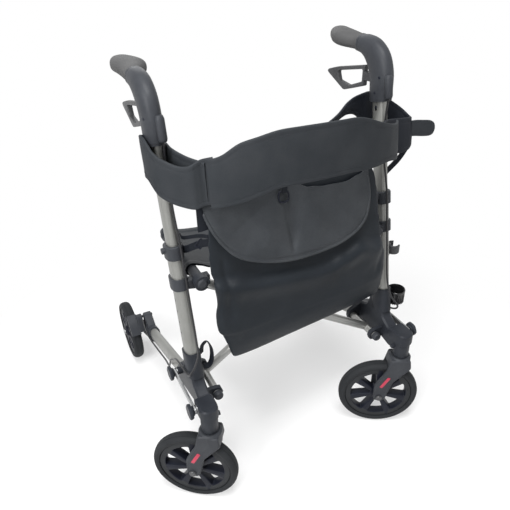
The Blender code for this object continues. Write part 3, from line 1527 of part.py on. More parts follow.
def side_frame(name, parent, pivot):
    side = SIDES[name]
    frame = body(f"{name}_frame", pivot, parent) if parent else body(f"{name}_frame", pivot)
    front_post(name, side, frame)
    lower_joint(name, side, frame)
    rear_leg(name, side, frame)
    rear_bracket(name, side, frame)
    height_clamp(name, side, frame)
    seat_bracket(name, side, frame)
    side_link(name, side, frame)
    side_knob("front", name, side, LINK_FRONT_Y, frame)
    side_knob("rear", name, side, LINK_REAR_Y, frame)
    brake_cable(name, side, frame)
    handle = body(f"{name}_handle", (side * POST_HALF_TRACK, post_y(POST_TOP), POST_TOP), frame)
    handle_stem(name, side, handle)
    handle_housing(name, side, handle)
    hand_grip(name, side, handle)
    lever_pivot = Vector((side * POST_HALF_TRACK, *LEVER_PIVOT))
    lever = body(f"{name}_lever", lever_pivot, handle)
    brake_lever(name, side, lever, lever_pivot)
    rocker_pivot = Vector((side * REAR_HALF_TRACK, *shoe_pivot()))
    rocker = body(f"{name}_shoe", rocker_pivot, frame)
    brake_shoe(name, side, rocker, rocker_pivot)
    rear_wheel(name, side, frame)
    heading = LEFT_CASTER_HEADING if side < 0 else RIGHT_CASTER_HEADING
    caster(name, side, heading, frame)
    return frame


def cross(left, root):
    low_left = Vector((-PIVOT_HALF_TRACK, REAR_BRACE_Y, LOW_PIVOT_HEIGHT))
    low_right = Vector((PIVOT_HALF_TRACK, FRONT_BRACE_Y, LOW_PIVOT_HEIGHT))
    centre = Vector((0.0, (REAR_BRACE_Y + FRONT_BRACE_Y) / 2, LOW_PIVOT_HEIGHT + brace_rise()))
    rear_bar = body("rear_brace_body", low_left, left)
    brace("rear_brace", -1.0, REAR_BRACE_Y, rear_bar, low_left)
    pivot_cap("left", -1.0, rear_bar)
    brace_pin(rear_bar, centre)
    front_bar = body("front_brace_body", centre, rear_bar)
    brace("front_brace", 1.0, FRONT_BRACE_Y, front_bar, centre)
    pivot_cap("right", 1.0, front_bar)
    right_rail = body("right_rail", (PIVOT_HALF_TRACK, REAR_BRACE_Y, SEAT_HEIGHT), rear_bar)
    seat_rail("right", 1.0, right_rail, right_rail["pivot"])
    left_rail = body("left_rail", (-PIVOT_HALF_TRACK, FRONT_BRACE_Y, SEAT_HEIGHT), front_bar)
    seat_rail("left", -1.0, left_rail, left_rail["pivot"])
    seat_sling(left_rail)
    return side_frame("right", front_bar, low_right)


def stand_on_origin(root):
    """Moves the walker so that its outline is centred on the origin and it stands on the floor."""
    bpy.context.view_layer.update()
    graph = bpy.context.evaluated_depsgraph_get()
    corners = []
    for obj in PARTS.objects:
        if obj.type != "MESH":
            continue
        evaluated = obj.evaluated_get(graph)
        corners += [evaluated.matrix_world @ Vector(corner) for corner in evaluated.bound_box]
    low = [min(corner[axis] for corner in corners) for axis in range(3)]
    high = [max(corner[axis] for corner in corners) for axis in range(3)]
    root["empty"].location += Vector(
        (-(low[0] + high[0]) / 2, -(low[1] + high[1]) / 2, -low[2])
    )
    bpy.context.view_layer.update()


clear_scene()
PARTS = new_collection("walker", False)
TOOLS = new_collection("cutters", True)
walker = body("walker", (0.0, 0.0, 0.0))
left_side = side_frame("left", walker, (-POST_HALF_TRACK, 0.0, 0.0))
right_side = cross(left_side, walker)
bag_body(left_side)
bag_flap(left_side)
backrest_band(left_side)
strap_loop(left_side)
pull_ring(left_side)
cane_cup(right_side)
cane_clip(right_side)
stand_on_origin(walker)
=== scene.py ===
import json
import math

import bmesh
import bpy
from mathutils import Matrix, Vector, noise
from mathutils.bvhtree import BVHTree


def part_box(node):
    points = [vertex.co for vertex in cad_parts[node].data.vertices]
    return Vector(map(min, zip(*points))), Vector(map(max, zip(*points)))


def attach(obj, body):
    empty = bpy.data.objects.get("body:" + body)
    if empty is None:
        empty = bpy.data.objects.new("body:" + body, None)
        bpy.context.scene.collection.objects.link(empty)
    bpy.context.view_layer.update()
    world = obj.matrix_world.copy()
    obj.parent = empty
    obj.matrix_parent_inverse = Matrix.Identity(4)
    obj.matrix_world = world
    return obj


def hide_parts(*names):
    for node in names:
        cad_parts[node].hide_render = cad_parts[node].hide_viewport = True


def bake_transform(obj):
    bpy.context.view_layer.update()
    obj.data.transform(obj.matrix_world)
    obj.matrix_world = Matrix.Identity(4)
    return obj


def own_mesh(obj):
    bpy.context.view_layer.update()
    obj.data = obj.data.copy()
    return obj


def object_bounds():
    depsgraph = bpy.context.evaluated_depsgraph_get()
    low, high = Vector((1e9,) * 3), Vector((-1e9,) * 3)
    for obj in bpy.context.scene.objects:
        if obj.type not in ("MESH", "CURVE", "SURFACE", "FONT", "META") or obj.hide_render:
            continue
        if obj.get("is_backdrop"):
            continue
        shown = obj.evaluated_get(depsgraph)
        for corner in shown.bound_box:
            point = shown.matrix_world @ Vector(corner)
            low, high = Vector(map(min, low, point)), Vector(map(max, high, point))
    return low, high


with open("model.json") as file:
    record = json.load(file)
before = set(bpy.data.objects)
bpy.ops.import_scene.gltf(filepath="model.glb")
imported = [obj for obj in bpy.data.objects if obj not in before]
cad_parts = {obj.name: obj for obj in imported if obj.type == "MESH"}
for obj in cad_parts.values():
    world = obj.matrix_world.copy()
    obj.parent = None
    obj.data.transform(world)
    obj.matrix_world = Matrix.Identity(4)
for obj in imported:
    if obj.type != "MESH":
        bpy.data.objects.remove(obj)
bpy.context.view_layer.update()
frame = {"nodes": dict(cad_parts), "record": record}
nodes = frame["nodes"]
print("frame loaded,", len(nodes), "CAD pieces")

# The walker's own middle plane and mid wheelbase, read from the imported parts
leftPost, rightPost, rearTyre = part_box("front_post_left"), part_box("front_post_right"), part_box("rear_tyre_left")
middleX = (leftPost[0].x + leftPost[1].x + rightPost[0].x + rightPost[1].x) / 4
middleY = (rearTyre[0].y + rearTyre[1].y) / 2 - 0.290
sides = {"left": -1.0, "right": 1.0}
stemTrack = 0.250  # from the middle plane to each post and stem
railTrack, railHeight = 0.213, 0.545  # the seat rails
postFoot, postLean = (-0.198, 0.369), 10.2  # the post's foot (y, z) and its lean in degrees
legHeight, legSlope = 0.208, 0.35  # the rear leg's height at mid wheelbase and its fall towards the rear


def at(x, y, z):
    return Vector((x + middleX, y + middleY, z))


# Where the leaning post is at a height, and how high the leg is at a place
def postY(z):
    return postFoot[0] + (z - postFoot[1]) * math.tan(math.radians(postLean))


def legZ(y):
    return legHeight - legSlope * y


def placed(name, data):
    thing = bpy.data.objects.new(name, data)
    bpy.context.scene.collection.objects.link(thing)
    return thing


# Camera first, at the photograph's viewing angle
cameraSettings = {
    "place": at(-0.4874, -1.0207, 1.1420),
    "right": Vector((0.90805, -0.41657, -0.04367)),
    "up": Vector((0.25970, 0.47814, 0.83901)),
    "focalPixels": 526.1,
    "frameWidth": 510,
    "sensor": 36,
    "farClip": 20,
    "shift": (0.0394, 0.0167),
}


def setCamera(settings):
    data = bpy.data.cameras.new("photoCamera")
    data.sensor_width = settings["sensor"]
    data.lens = settings["sensor"] * settings["focalPixels"] / settings["frameWidth"]
    data.shift_x, data.shift_y = settings["shift"]
    data.clip_end = settings["farClip"]
    camera = placed("photoCamera", data)
    right = settings["right"].normalized()
    back = right.cross(settings["up"]).normalized()
    up = back.cross(right)
    turn = Matrix((right, up, back)).transposed().to_4x4()
    camera.matrix_world = Matrix.Translation(settings["place"]) @ turn
    bpy.context.scene.camera = camera


setCamera(cameraSettings)


# A node's output that can be written in sums
class nodeValue:
    def __init__(self, board, link):
        self.board = board
        self.link = link

    def __add__(self, other):
        return self.board.maths("ADD", self, other)

    __radd__ = __add__

    def __sub__(self, other):
        return self.board.maths("SUBTRACT", self, other)

    def __rsub__(self, other):
        return self.board.maths("SUBTRACT", other, self)

    def __mul__(self, other):
        return self.board.maths("MULTIPLY", self, other)

    def __truediv__(self, other):
        return self.board.maths("DIVIDE", self, other)


# The nodes of one material, of the world or of a Geometry Nodes tree
class nodeBoard:
    def __init__(self, owner):
        self.owner = self.tree = owner
        if not isinstance(owner, bpy.types.NodeTree):
            owner.use_nodes = True
            self.tree = owner.node_tree
        self.tree.nodes.clear()

    def add(self, kind, settings=None, sockets=None, out=0):
        node = self.tree.nodes.new(kind)
        for key, value in (settings or {}).items():
            if key != "stops":
                setattr(node, key, value)
                continue
            ramp = node.color_ramp.elements
            while len(ramp) < len(value):
                ramp.new(0.5)
            for stop, (place, colour) in zip(ramp, value):
                stop.position = place
                stop.color = (*colour, 1) if len(colour) == 3 else colour
        for key, value in (sockets or {}).items():
            if isinstance(value, nodeValue):
                self.tree.links.new(value.link, node.inputs[key])
            elif value is not None:
                node.inputs[key].default_value = value
        return nodeValue(self, node.outputs[out]) if len(node.outputs) else None

    def maths(self, operation, a, b=0.0):
        return self.add("ShaderNodeMath", {"operation": operation}, {0: a, 1: b})

    def place(self, kind="Object"):
        return self.add("ShaderNodeTexCoord", out=kind)

    def stretched(self, vector, scale):
        return self.add("ShaderNodeMapping", None, {"Vector": vector, "Scale": scale})

    def noise(self, vector, scale, detail=3.0, rough=0.5):
        sockets = {"Vector": vector, "Scale": scale, "Detail": detail, "Roughness": rough}
        return self.add("ShaderNodeTexNoise", None, sockets)

    def ramp(self, value, stops):
        return self.add("ShaderNodeValToRGB", {"stops": stops}, {"Fac": value})

    def bump(self, height, distance, strength=1.0, under=None):
        sockets = {"Height": height, "Distance": distance, "Strength": strength, "Normal": under}
        return self.add("ShaderNodeBump", None, sockets)

    def finish(self, colour, roughness, normal=None, gloss=0.5, metal=0.0):
        sockets = {"Base Color": colour, "Roughness": roughness, "Normal": normal}
        sockets.update({"Specular IOR Level": gloss, "Metallic": metal})
        shader = self.add("ShaderNodeBsdfPrincipled", None, sockets)
        self.add("ShaderNodeOutputMaterial", None, {"Surface": shader})
        return self.owner


def materialBoard(name):
    return nodeBoard(bpy.data.materials.new(name))


# Colours of each finish; "gloss" is its specular level
finishes = {
    "aluminium": {"light": (0.285, 0.286, 0.272), "dark": (0.222, 0.223, 0.211),
                  "brush": 1040, "rough": 0.42, "metal": 0.62},
    # The braces' tube: a second tone of the same anodised aluminium, set for the shade the braces sit in, which is
    # painted shade
    "tube": {"light": (0.40, 0.40, 0.39), "dark": (0.30, 0.30, 0.29), "brush": 1040, "rough": 0.36, "metal": 0.75},
    "zinc": {"light": (0.38, 0.385, 0.39), "dark": (0.24, 0.245, 0.25), "rough": 0.38},
    "charcoal": {"light": (0.039, 0.042, 0.048), "dark": (0.027, 0.029, 0.034),
                 "grain": 900, "rough": 0.46, "gloss": 0.16},
    "joint": {"light": (0.027, 0.030, 0.036), "dark": (0.017, 0.019, 0.024),
              "grain": 900, "rough": 0.42, "gloss": 0.14},
    "rimBand": {"light": (0.027, 0.029, 0.031), "dark": (0.020, 0.021, 0.023),
                "grain": 900, "rough": 0.50, "gloss": 0.12},
    "lever": {"light": (0.060, 0.061, 0.064), "dark": (0.043, 0.044, 0.047),
              "grain": 1200, "rough": 0.40, "gloss": 0.18},
    "rim": {"light": (0.012, 0.014, 0.022), "dark": (0.007, 0.008, 0.013),
            "grain": 900, "rough": 0.42, "gloss": 0.14},
    "grip": {"light": (0.080, 0.080, 0.081), "dark": (0.060, 0.060, 0.061),
             "rib": 0.0021, "rough": 0.62, "gloss": 0.14},
    "tyre": {"light": (0.025, 0.027, 0.029), "dark": (0.017, 0.018, 0.020), "rough": 0.66, "gloss": 0.11},
    "nylon": {"light": (0.0165, 0.0200, 0.0245), "dark": (0.0105, 0.0128, 0.0160),
              "threads": 1400, "rough": 0.38, "gloss": 0.12},
    # The flap's nylon is a lighter copy of the bag's nylon: painted light where the flap is lit from above, and its
    # broad light and dark patches are a painted sheen
    "paintedLitFlapNylon": {"light": (0.050, 0.054, 0.059), "dark": (0.026, 0.029, 0.033),
                  "threads": 1400, "rough": 0.38, "gloss": 0.14},
    "webbing": {"light": (0.036, 0.039, 0.043), "dark": (0.022, 0.025, 0.029),
                "rib": 0.0016, "rough": 0.62, "gloss": 0.08},
}


def anodisedFinish(name, s):
    board = materialBoard(name)
    here = board.place()
    brushed = board.noise(board.stretched(here, (1.0, 1.0, 0.02)), s["brush"], 4, 0.6)
    cloud = board.noise(here, 14, 2)
    share = brushed * 0.45 + cloud * 0.55
    colour = board.ramp(share, [(0.3, s["dark"]), (0.7, s["light"])])
    rough = s["rough"] + (cloud - 0.5) * 0.10 + (brushed - 0.5) * 0.06
    return board.finish(colour, rough, board.bump(brushed, 0.00004, 0.25), metal=s["metal"])


def zincFinish(s):
    board = materialBoard("zincPlatedSteel")
    here = board.place()
    spangle = board.add("ShaderNodeTexVoronoi", None, {"Vector": here, "Scale": 260})
    cloud = board.noise(here, 40, 3)
    colour = board.ramp(cloud, [(0.3, s["dark"]), (0.7, s["light"])])
    rough = s["rough"] + (cloud - 0.5) * 0.2
    return board.finish(colour, rough, board.bump(spangle, 0.00003, 0.3), metal=1.0)


def mouldedFinish(name, s):
    board = materialBoard(name)
    here = board.place()
    grain = board.noise(here, s["grain"], 2, 0.6)
    cloud = board.noise(here, 22, 3)
    wear = board.noise(here, 130, 4, 0.65)
    share = cloud * 0.7 + wear * 0.3
    colour = board.ramp(share, [(0.32, s["dark"]), (0.68, s["light"])])
    rough = s["rough"] + (wear - 0.5) * 0.16
    return board.finish(colour, rough, board.bump(grain, 0.00012, 0.35), s["gloss"])


def gripFinish(s):
    board = materialBoard("gripRubber")
    here = board.place()
    cloud = board.noise(here, 30, 3)
    parts = board.add("ShaderNodeSeparateXYZ", None, {0: here}, 1)
    ribs = board.maths("SINE", parts * (2 * math.pi / s["rib"]))
    colour = board.ramp(cloud, [(0.3, s["dark"]), (0.7, s["light"])])
    grain = board.noise(here, 1400, 2)
    normal = board.bump(ribs * 0.6 + grain, 0.00018, 0.4)
    return board.finish(colour, s["rough"] + (cloud - 0.5) * 0.12, normal, s["gloss"])


def tyreFinish(s):
    board = materialBoard("tyreRubber")
    here = board.place()
    cloud = board.noise(here, 18, 4, 0.6)
    dust = board.noise(here, 160, 4, 0.7)
    colour = board.ramp(cloud * 0.6 + dust * 0.4, [(0.35, s["dark"]), (0.7, s["light"])])
    normal = board.bump(board.noise(here, 1100, 2), 0.00012, 0.4)
    return board.finish(colour, s["rough"] + (dust - 0.5) * 0.2, normal, s["gloss"])


def weaveHeight(board, threads):
    # Plain weave: over and under threads by the parity of the square
    uv = board.place("UV")
    u = board.add("ShaderNodeSeparateXYZ", None, {0: uv}, 0) * threads
    v = board.add("ShaderNodeSeparateXYZ", None, {0: uv}, 1) * threads
    across = board.maths("ABSOLUTE", board.maths("SINE", u * math.pi))
    along = board.maths("ABSOLUTE", board.maths("SINE", v * math.pi))
    square = board.maths("FLOOR", u) + board.maths("FLOOR", v)
    parity = board.maths("PINGPONG", square, 1.0)
    return across * parity + along * (1 - parity)


def nylonFinish(name, s):
    board = materialBoard(name)
    here = board.place()
    weave = weaveHeight(board, s["threads"])
    cloud = board.noise(here, 12, 3)
    dust = board.noise(here, 420, 3, 0.7)
    colour = board.ramp(cloud * 0.7 + dust * 0.3, [(0.32, s["dark"]), (0.68, s["light"])])
    normal = board.bump(weave, 0.00012, 0.35, board.bump(board.noise(here, 46, 4, 0.55), 0.0016, 0.30))
    return board.finish(colour, s["rough"] + (cloud - 0.5) * 0.2, normal, s["gloss"])


def webbingFinish(s):
    board = materialBoard("wovenWebbing")
    here = board.place()
    uv = board.place("UV")
    u = board.add("ShaderNodeSeparateXYZ", None, {0: uv}, 0)
    v = board.add("ShaderNodeSeparateXYZ", None, {0: uv}, 1)
    ribs = board.maths("ABSOLUTE", board.maths("SINE", u * (math.pi / s["rib"])))
    threads = board.maths("ABSOLUTE", board.maths("SINE", v * (math.pi / (s["rib"] * 0.6))))
    cloud = board.noise(here, 16, 3)
    lint = board.noise(here, 700, 3, 0.7)
    colour = board.ramp(cloud * 0.6 + lint * 0.4, [(0.32, s["dark"]), (0.68, s["light"])])
    normal = board.bump(ribs * 0.6 + threads * 0.4, 0.0002, 0.45)
    return board.finish(colour, s["rough"] + (cloud - 0.5) * 0.12, normal, s["gloss"])


def plainFinish(name, colour, rough, scale=60, gloss=0.5):
    board = materialBoard(name)
    cloud = board.noise(board.place(), scale, 3)
    low = tuple(0.8 * c for c in colour)
    tint = board.ramp(cloud, [(0.3, low), (0.7, colour)])
    return board.finish(tint, rough + (cloud - 0.5) * 0.1, gloss=gloss)


aluminium = anodisedFinish("satinAnodisedAluminium", finishes["aluminium"])
# The braces' copy of the anodised aluminium, toned as painted shade
tubeMetalPaintedShade = anodisedFinish("anodisedTubePaintedShade", finishes["tube"])
zinc = zincFinish(finishes["zinc"])
charcoal = mouldedFinish("charcoalMoulding", finishes["charcoal"])
jointPlastic = mouldedFinish("jointMoulding", finishes["joint"])
rimBandPlastic = mouldedFinish("rimBandMoulding", finishes["rimBand"])
leverPlastic = mouldedFinish("leverMoulding", finishes["lever"])
rimPlastic = mouldedFinish("rimMoulding", finishes["rim"])
gripRubber = gripFinish(finishes["grip"])
tyreRubber = tyreFinish(finishes["tyre"])
nylon = nylonFinish("coatedNylon", finishes["nylon"])
# The flap's lighter nylon: painted light and painted sheen on the bag's own cloth
paintedLitNylon = nylonFinish("paintedLitFlapNylon", finishes["paintedLitFlapNylon"])
webbing = webbingFinish(finishes["webbing"])
cupGloss = plainFinish("glossBlackCup", (0.012, 0.012, 0.013), 0.16)
cableSleeve = plainFinish("cableSleeve", (0.022, 0.022, 0.024), 0.38, gloss=0.3)
redMark = plainFinish("redMark", (0.46, 0.022, 0.060), 0.40)
thread = plainFinish("sewingThread", (0.034, 0.037, 0.042), 0.7, 900, 0.1)
darkSteel = plainFinish("blackenedSteel", (0.050, 0.050, 0.053), 0.36, 200)
# Dark nylon webbing: the straps' own colour, and painted shade on the band's right loop where it wraps round its stem
darkNylonAndPaintedShade = plainFinish("darkWebAndPaintedShade", (0.013, 0.015, 0.020), 0.58, 300, 0.10)
slotFinish = {
    "anodised_aluminium": aluminium,
    "zinc_steel": zinc,
    "charcoal_plastic": charcoal,
    "grip_rubber": gripRubber,
    "lever_plastic": leverPlastic,
    "tyre_rubber": tyreRubber,
    "rim_plastic": rimPlastic,
    "gloss_black": cupGloss,
    "cable_sleeve": cableSleeve,
    "webbing": webbing,
    "bag_nylon": nylon,
}
nodeSlot = {part["node"]: part["material_slot"] for part in frame["record"]["subparts"]}
bodyOf = {node: body for body, held in frame["record"]["behaviour"]["bodies"].items() for node in held}
print("finishes mixed")


# Shared shapes


def meshData(name, mesh):
    data = bpy.data.meshes.new(name)
    mesh.to_mesh(data)
    mesh.free()
    return data


# What an object's modifiers or curve settings make, as mesh data; the object itself goes
def baked(thing):
    bpy.context.view_layer.update()
    data = bpy.data.meshes.new_from_object(thing.evaluated_get(bpy.context.evaluated_depsgraph_get()))
    bpy.data.objects.remove(thing)
    return data


# The way a path runs at one of its points
def aheadAt(path, i):
    return (path[min(i + 1, len(path) - 1)] - path[max(i - 1, 0)]).normalized()


# The way out at one of count steps round the Z axis
def wayOut(step, count):
    angle = 2 * math.pi * step / count
    return Vector((math.cos(angle), math.sin(angle), 0))


# A smooth path through points
def catmull(points, steps):
    points = [Vector(p) for p in points]
    padded = [2 * points[0] - points[1], *points, 2 * points[-1] - points[-2]]
    made = []
    for i in range(len(points) - 1):
        a, b, c, d = padded[i : i + 4]
        for step in range(steps):
            t = step / steps
            bend = (2 * a - 5 * b + 4 * c - d) * t**2 + (3 * b - a - 3 * c + d) * t**3
            made.append((2 * b + (c - a) * t + bend) / 2)
    made.append(points[-1])
    return made


# A frame at origin with Z ahead and X as near to across as it can be
def axisFrame(origin, ahead, across=(1, 0, 0)):
    z = Vector(ahead).normalized()
    x = (Vector(across) - z * z.dot(Vector(across))).normalized()
    return Matrix.Translation(origin) @ Matrix((x, z.cross(x), z)).transposed().to_4x4()


# A ring of points; a power above 2 squares it
def oval(halfX, halfY, count, power=2.0, z=0.0):
    ring = []
    for i in range(count):
        angle = 2 * math.pi * i / count
        c, s = math.cos(angle), math.sin(angle)
        x = math.copysign(abs(c) ** (2 / power), c) * halfX
        y = math.copysign(abs(s) ** (2 / power), s) * halfY
        ring.append(Vector((x, y, z)))
    return ring


# Quads between rings of points, with UVs in metres
def loft(rings, closed=False, caps=True):
    mesh = bmesh.new()
    uv = mesh.loops.layers.uv.new("UVMap")
    grid = [[mesh.verts.new(p) for p in ring] for ring in rings]
    count = len(rings[0])
    rise = [0.0]
    for a, b in zip(rings, rings[1:] + rings[:1]):
        rise.append(rise[-1] + sum((p - q).length for p, q in zip(a, b)) / count)
    turn = [0.0]
    middle = rings[len(rings) // 2]
    for a, b in zip(middle, middle[1:] + middle[:1]):
        turn.append(turn[-1] + (a - b).length)
    rows = len(rings) if closed else len(rings) - 1
    for r in range(rows):
        for c in range(count):
            n, m = (r + 1) % len(rings), (c + 1) % count
            face = mesh.faces.new((grid[r][c], grid[r][m], grid[n][m], grid[n][c]))
            for loop, (across, up) in zip(face.loops, ((c, r), (c + 1, r), (c + 1, r + 1), (c, r + 1))):
                loop[uv].uv = (turn[across], rise[up])
    if caps and not closed:
        mesh.faces.new(reversed(grid[0]))
        mesh.faces.new(grid[-1])
    return mesh


def revolved(profile, origin, axis, count):
    turn = axisFrame(origin, axis, (0, 0, 1))
    rings = []
    for step in range(count):
        out = wayOut(step, count)
        rings.append([turn @ (out * radius + Vector((0, 0, along))) for radius, along in profile])
    return loft(rings, closed=True, caps=False)


def tidyNormals(mesh):
    bmesh.ops.remove_doubles(mesh, verts=mesh.verts, dist=1e-6)
    bmesh.ops.recalc_face_normals(mesh, faces=mesh.faces)
    return mesh


def markSharp(mesh, degrees):
    limit = math.radians(degrees)
    for face in mesh.faces:
        face.smooth = True
    for edge in mesh.edges:
        if len(edge.link_faces) == 2 and edge.calc_face_angle(0.0) > limit:
            edge.smooth = False


def newPiece(name, mesh, material, body, stands=(), slot=None, sharp=35):
    markSharp(mesh, sharp)
    piece = placed(name, meshData(name, mesh))
    piece.data.materials.append(material)
    if stands:
        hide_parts(*stands)
        slot = slot or nodeSlot[stands[0]]
    if body:
        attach(piece, body)
    return piece


def softEdges(piece, width):
    bevel = piece.modifiers.new("softEdges", "BEVEL")
    bevel.width = width
    bevel.segments = 2
    bevel.limit_method = "ANGLE"
    bevel.angle_limit = math.radians(30)
    bevel.harden_normals = True


# An outline through (x, y, radius) corners
def roundedOutline(corners, steps=8):
    points, count = [], len(corners)
    for i, (x, y, radius) in enumerate(corners):
        here = Vector((x, y))
        before, after = Vector(corners[i - 1][:2]) - here, Vector(corners[(i + 1) % count][:2]) - here
        if not radius:
            points.append(here)
            continue
        reach = min(radius / math.tan(before.angle(after) / 2), 0.49 * before.length, 0.49 * after.length)
        start, end = here + before.normalized() * reach, here + after.normalized() * reach
        for step in range(steps + 1):
            t = step / steps
            points.append((1 - t) ** 2 * start + 2 * t * (1 - t) * here + t**2 * end)
    return points


# A plate between low and high along the plane's normal, with rounded rims and holes
def plate(outline, low, high, plane, holes=(), bevel=0.0, rim=3):
    curve = bpy.data.curves.new("plateOutline", "CURVE")
    curve.dimensions = "2D"
    curve.fill_mode = "BOTH"
    curve.extrude = abs(high - low) / 2 - bevel
    curve.bevel_depth = bevel
    curve.bevel_resolution = rim
    curve.offset = -bevel
    for loop in (outline, *holes):
        spline = curve.splines.new("POLY")
        spline.points.add(len(loop) - 1)
        spline.use_cyclic_u = True
        for point, (x, y) in zip(spline.points, loop):
            point.co = (x, y, 0.0, 1.0)
    mesh = bmesh.new()
    mesh.from_mesh(baked(placed("plateOutline", curve)))
    bmesh.ops.remove_doubles(mesh, verts=mesh.verts, dist=1e-6)
    mesh.transform(plane @ Matrix.Translation((0, 0, (low + high) / 2)))
    return mesh


def rod(start, end, radius, count=24, ease=0.0):
    start, end = Vector(start), Vector(end)
    turn = axisFrame(start, end - start, (0, 0, 1) if abs((end - start).normalized().z) < 0.9 else (1, 0, 0))
    length = (end - start).length
    sizes = [(radius, 0.0), (radius, length)]
    if ease:
        sizes = [(radius - ease, 0.0), (radius, ease), (radius, length - ease), (radius - ease, length)]
    return loft([[turn @ p for p in oval(r, r, count, z=along)] for r, along in sizes])


# One closed mesh with others joined to it or cut from it
def carved(mesh, adds=(), cuts=()):
    block, *tools = [placed("carving", meshData("carving", tidyNormals(one))) for one in (mesh, *adds, *cuts)]
    for i, tool in enumerate(tools):
        step = block.modifiers.new("carve", "BOOLEAN")
        step.operation = "UNION" if i < len(adds) else "DIFFERENCE"
        step.solver = "EXACT"
        step.object = tool
    made = bmesh.new()
    made.from_mesh(baked(block))
    for tool in tools:
        bpy.data.objects.remove(tool)
    bmesh.ops.remove_doubles(made, verts=made.verts, dist=1e-5)
    return made


# A rigid CAD piece with its triangles merged and its edges rounded
def finishedNode(name, width, material=None, second=None, near=None):
    mesh = bmesh.new()
    mesh.from_mesh(nodes[name].data)
    bmesh.ops.remove_doubles(mesh, verts=mesh.verts, dist=2e-5)
    bmesh.ops.dissolve_limit(mesh, angle_limit=math.radians(0.6), verts=mesh.verts, edges=mesh.edges)
    for face in mesh.faces:
        face.material_index = int(near is not None and near(face.calc_center_median()))
    material = material or slotFinish[nodeSlot[name]]
    piece = newPiece(f"{name}_made", mesh, material, bodyOf[name], [name])
    if second:
        piece.data.materials.append(second)
    softEdges(piece, width)


# Geometry Nodes: copies of one piece along a path, or at each place and turned to its "facing"
def copyTree(name, alongPath):
    tree = bpy.data.node_groups.new(name, "GeometryNodeTree")
    kinds = {"Geometry": "Geometry", "Piece": "Object", "Finish": "Material"}
    if alongPath:
        kinds["Spacing"] = "Float"
    for label, kind in kinds.items():
        tree.interface.new_socket(label, in_out="INPUT", socket_type=f"NodeSocket{kind}")
    tree.interface.new_socket("Geometry", in_out="OUTPUT", socket_type="NodeSocketGeometry")
    board = nodeBoard(tree)
    given = {label: board.add("NodeGroupInput", out=label) for label in kinds}
    if alongPath:
        sockets = {"Curve": given["Geometry"], "Length": given["Spacing"]}
        points = board.add("GeometryNodeCurveToPoints", {"mode": "LENGTH"}, sockets, "Points")
        turn = nodeValue(board, points.link.node.outputs["Rotation"])
    else:
        points = board.add("GeometryNodeMeshToPoints", None, {"Mesh": given["Geometry"]}, "Points")
        settings, sockets = {"data_type": "FLOAT_VECTOR"}, {"Name": "facing"}
        facing = board.add("GeometryNodeInputNamedAttribute", settings, sockets, "Attribute")
        turn = board.add("FunctionNodeAlignRotationToVector", {"axis": "Z"}, {"Vector": facing}, "Rotation")
    shape = board.add("GeometryNodeObjectInfo", None, {"Object": given["Piece"]}, "Geometry")
    copies = board.add("GeometryNodeInstanceOnPoints", None, {"Points": points, "Instance": shape, "Rotation": turn})
    real = board.add("GeometryNodeRealizeInstances", None, {"Geometry": copies})
    made = board.add("GeometryNodeSetMaterial", None, {"Geometry": real, "Material": given["Finish"]})
    board.add("NodeGroupOutput", None, {"Geometry": made})
    return tree


rowNodes, spotNodes = copyTree("piecesAlongPath", True), copyTree("piecesAtPlaces", False)


# Runs a tree on a carrier's data and keeps the result as a plain mesh object
def grown(name, carrier, tree, inputs, body):
    holder = placed(name + "Carrier", carrier)
    modifier = holder.modifiers.new("grow", "NODES")
    modifier.node_group = tree
    for item in tree.interface.items_tree:
        if item.item_type == "SOCKET" and item.in_out == "INPUT" and item.name in inputs:
            modifier[item.identifier] = inputs[item.name]
    piece = placed(name, baked(holder))
    piece.data.name = name
    for face in piece.data.polygons:
        face.use_smooth = True
    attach(piece, body)
    return piece


def patternPiece(name, mesh, sharp):
    markSharp(mesh, sharp)
    return bpy.data.objects.new(name, meshData(name, mesh))


# One piece with a copy of the pattern at each (place, facing)
def spotted(name, pattern, spots, material, body):
    data = bpy.data.meshes.new(name + "Places")
    data.from_pydata([place for place, facing in spots], [], [])
    facings = data.attributes.new("facing", "FLOAT_VECTOR", "POINT")
    for entry, (place, facing) in zip(facings.data, spots):
        entry.vector = facing
    return grown(name, data, spotNodes, {"Piece": pattern, "Finish": material}, body)


# The rounding of each rigid piece's edges, for the pieces of both sides
rigid = {
    "front_post": 0.0004,
    "handle_stem": 0.0004,
    "rear_leg": 0.0004,
    "lower_joint": 0.0012,
    "rear_bracket": 0.0008,
    "height_clamp": 0.0008,
    "seat_bracket": 0.0008,
    "side_link": 0.0008,
    "front_knob": 0.0008,
    "rear_knob": 0.0008,
    "rear_axle": 0.0006,
    "brake_shoe": 0.0006,
    "caster_fork": 0.0012,
    "seat_rail": 0.0005,
}
ownFinish = {"lower_joint": jointPlastic, "side_link": zinc, "front_knob": jointPlastic, "rear_knob": jointPlastic}
for kind, width in rigid.items():
    for side in sides:
        finishedNode(f"{kind}_{side}", width, ownFinish.get(kind))
# Each brace carries a dark moulded knuckle round the seat rail
knuckle = {"rear_brace": (railTrack, -0.160), "front_brace": (-railTrack, -0.198), "reach": 0.0215, "half": 0.0096}
for name in ("rear_brace", "front_brace"):
    ring = at(*knuckle[name], railHeight)
    isKnuckle = lambda p, ring=ring: (p - ring).length < knuckle["reach"] and abs(p.y - ring.y) < knuckle["half"]
    # The brace tube takes that aluminium copy toned as painted shade
    finishedNode(name, 0.0005, tubeMetalPaintedShade, jointPlastic, isKnuckle)
for name, width in {"pivot_cap_left": 0.0006, "pivot_cap_right": 0.0006, "brace_pin": 0.0004,
                    "cane_cup": 0.0005, "cane_clip": 0.0006}.items():
    finishedNode(name, width)
print("rigid pieces finished")

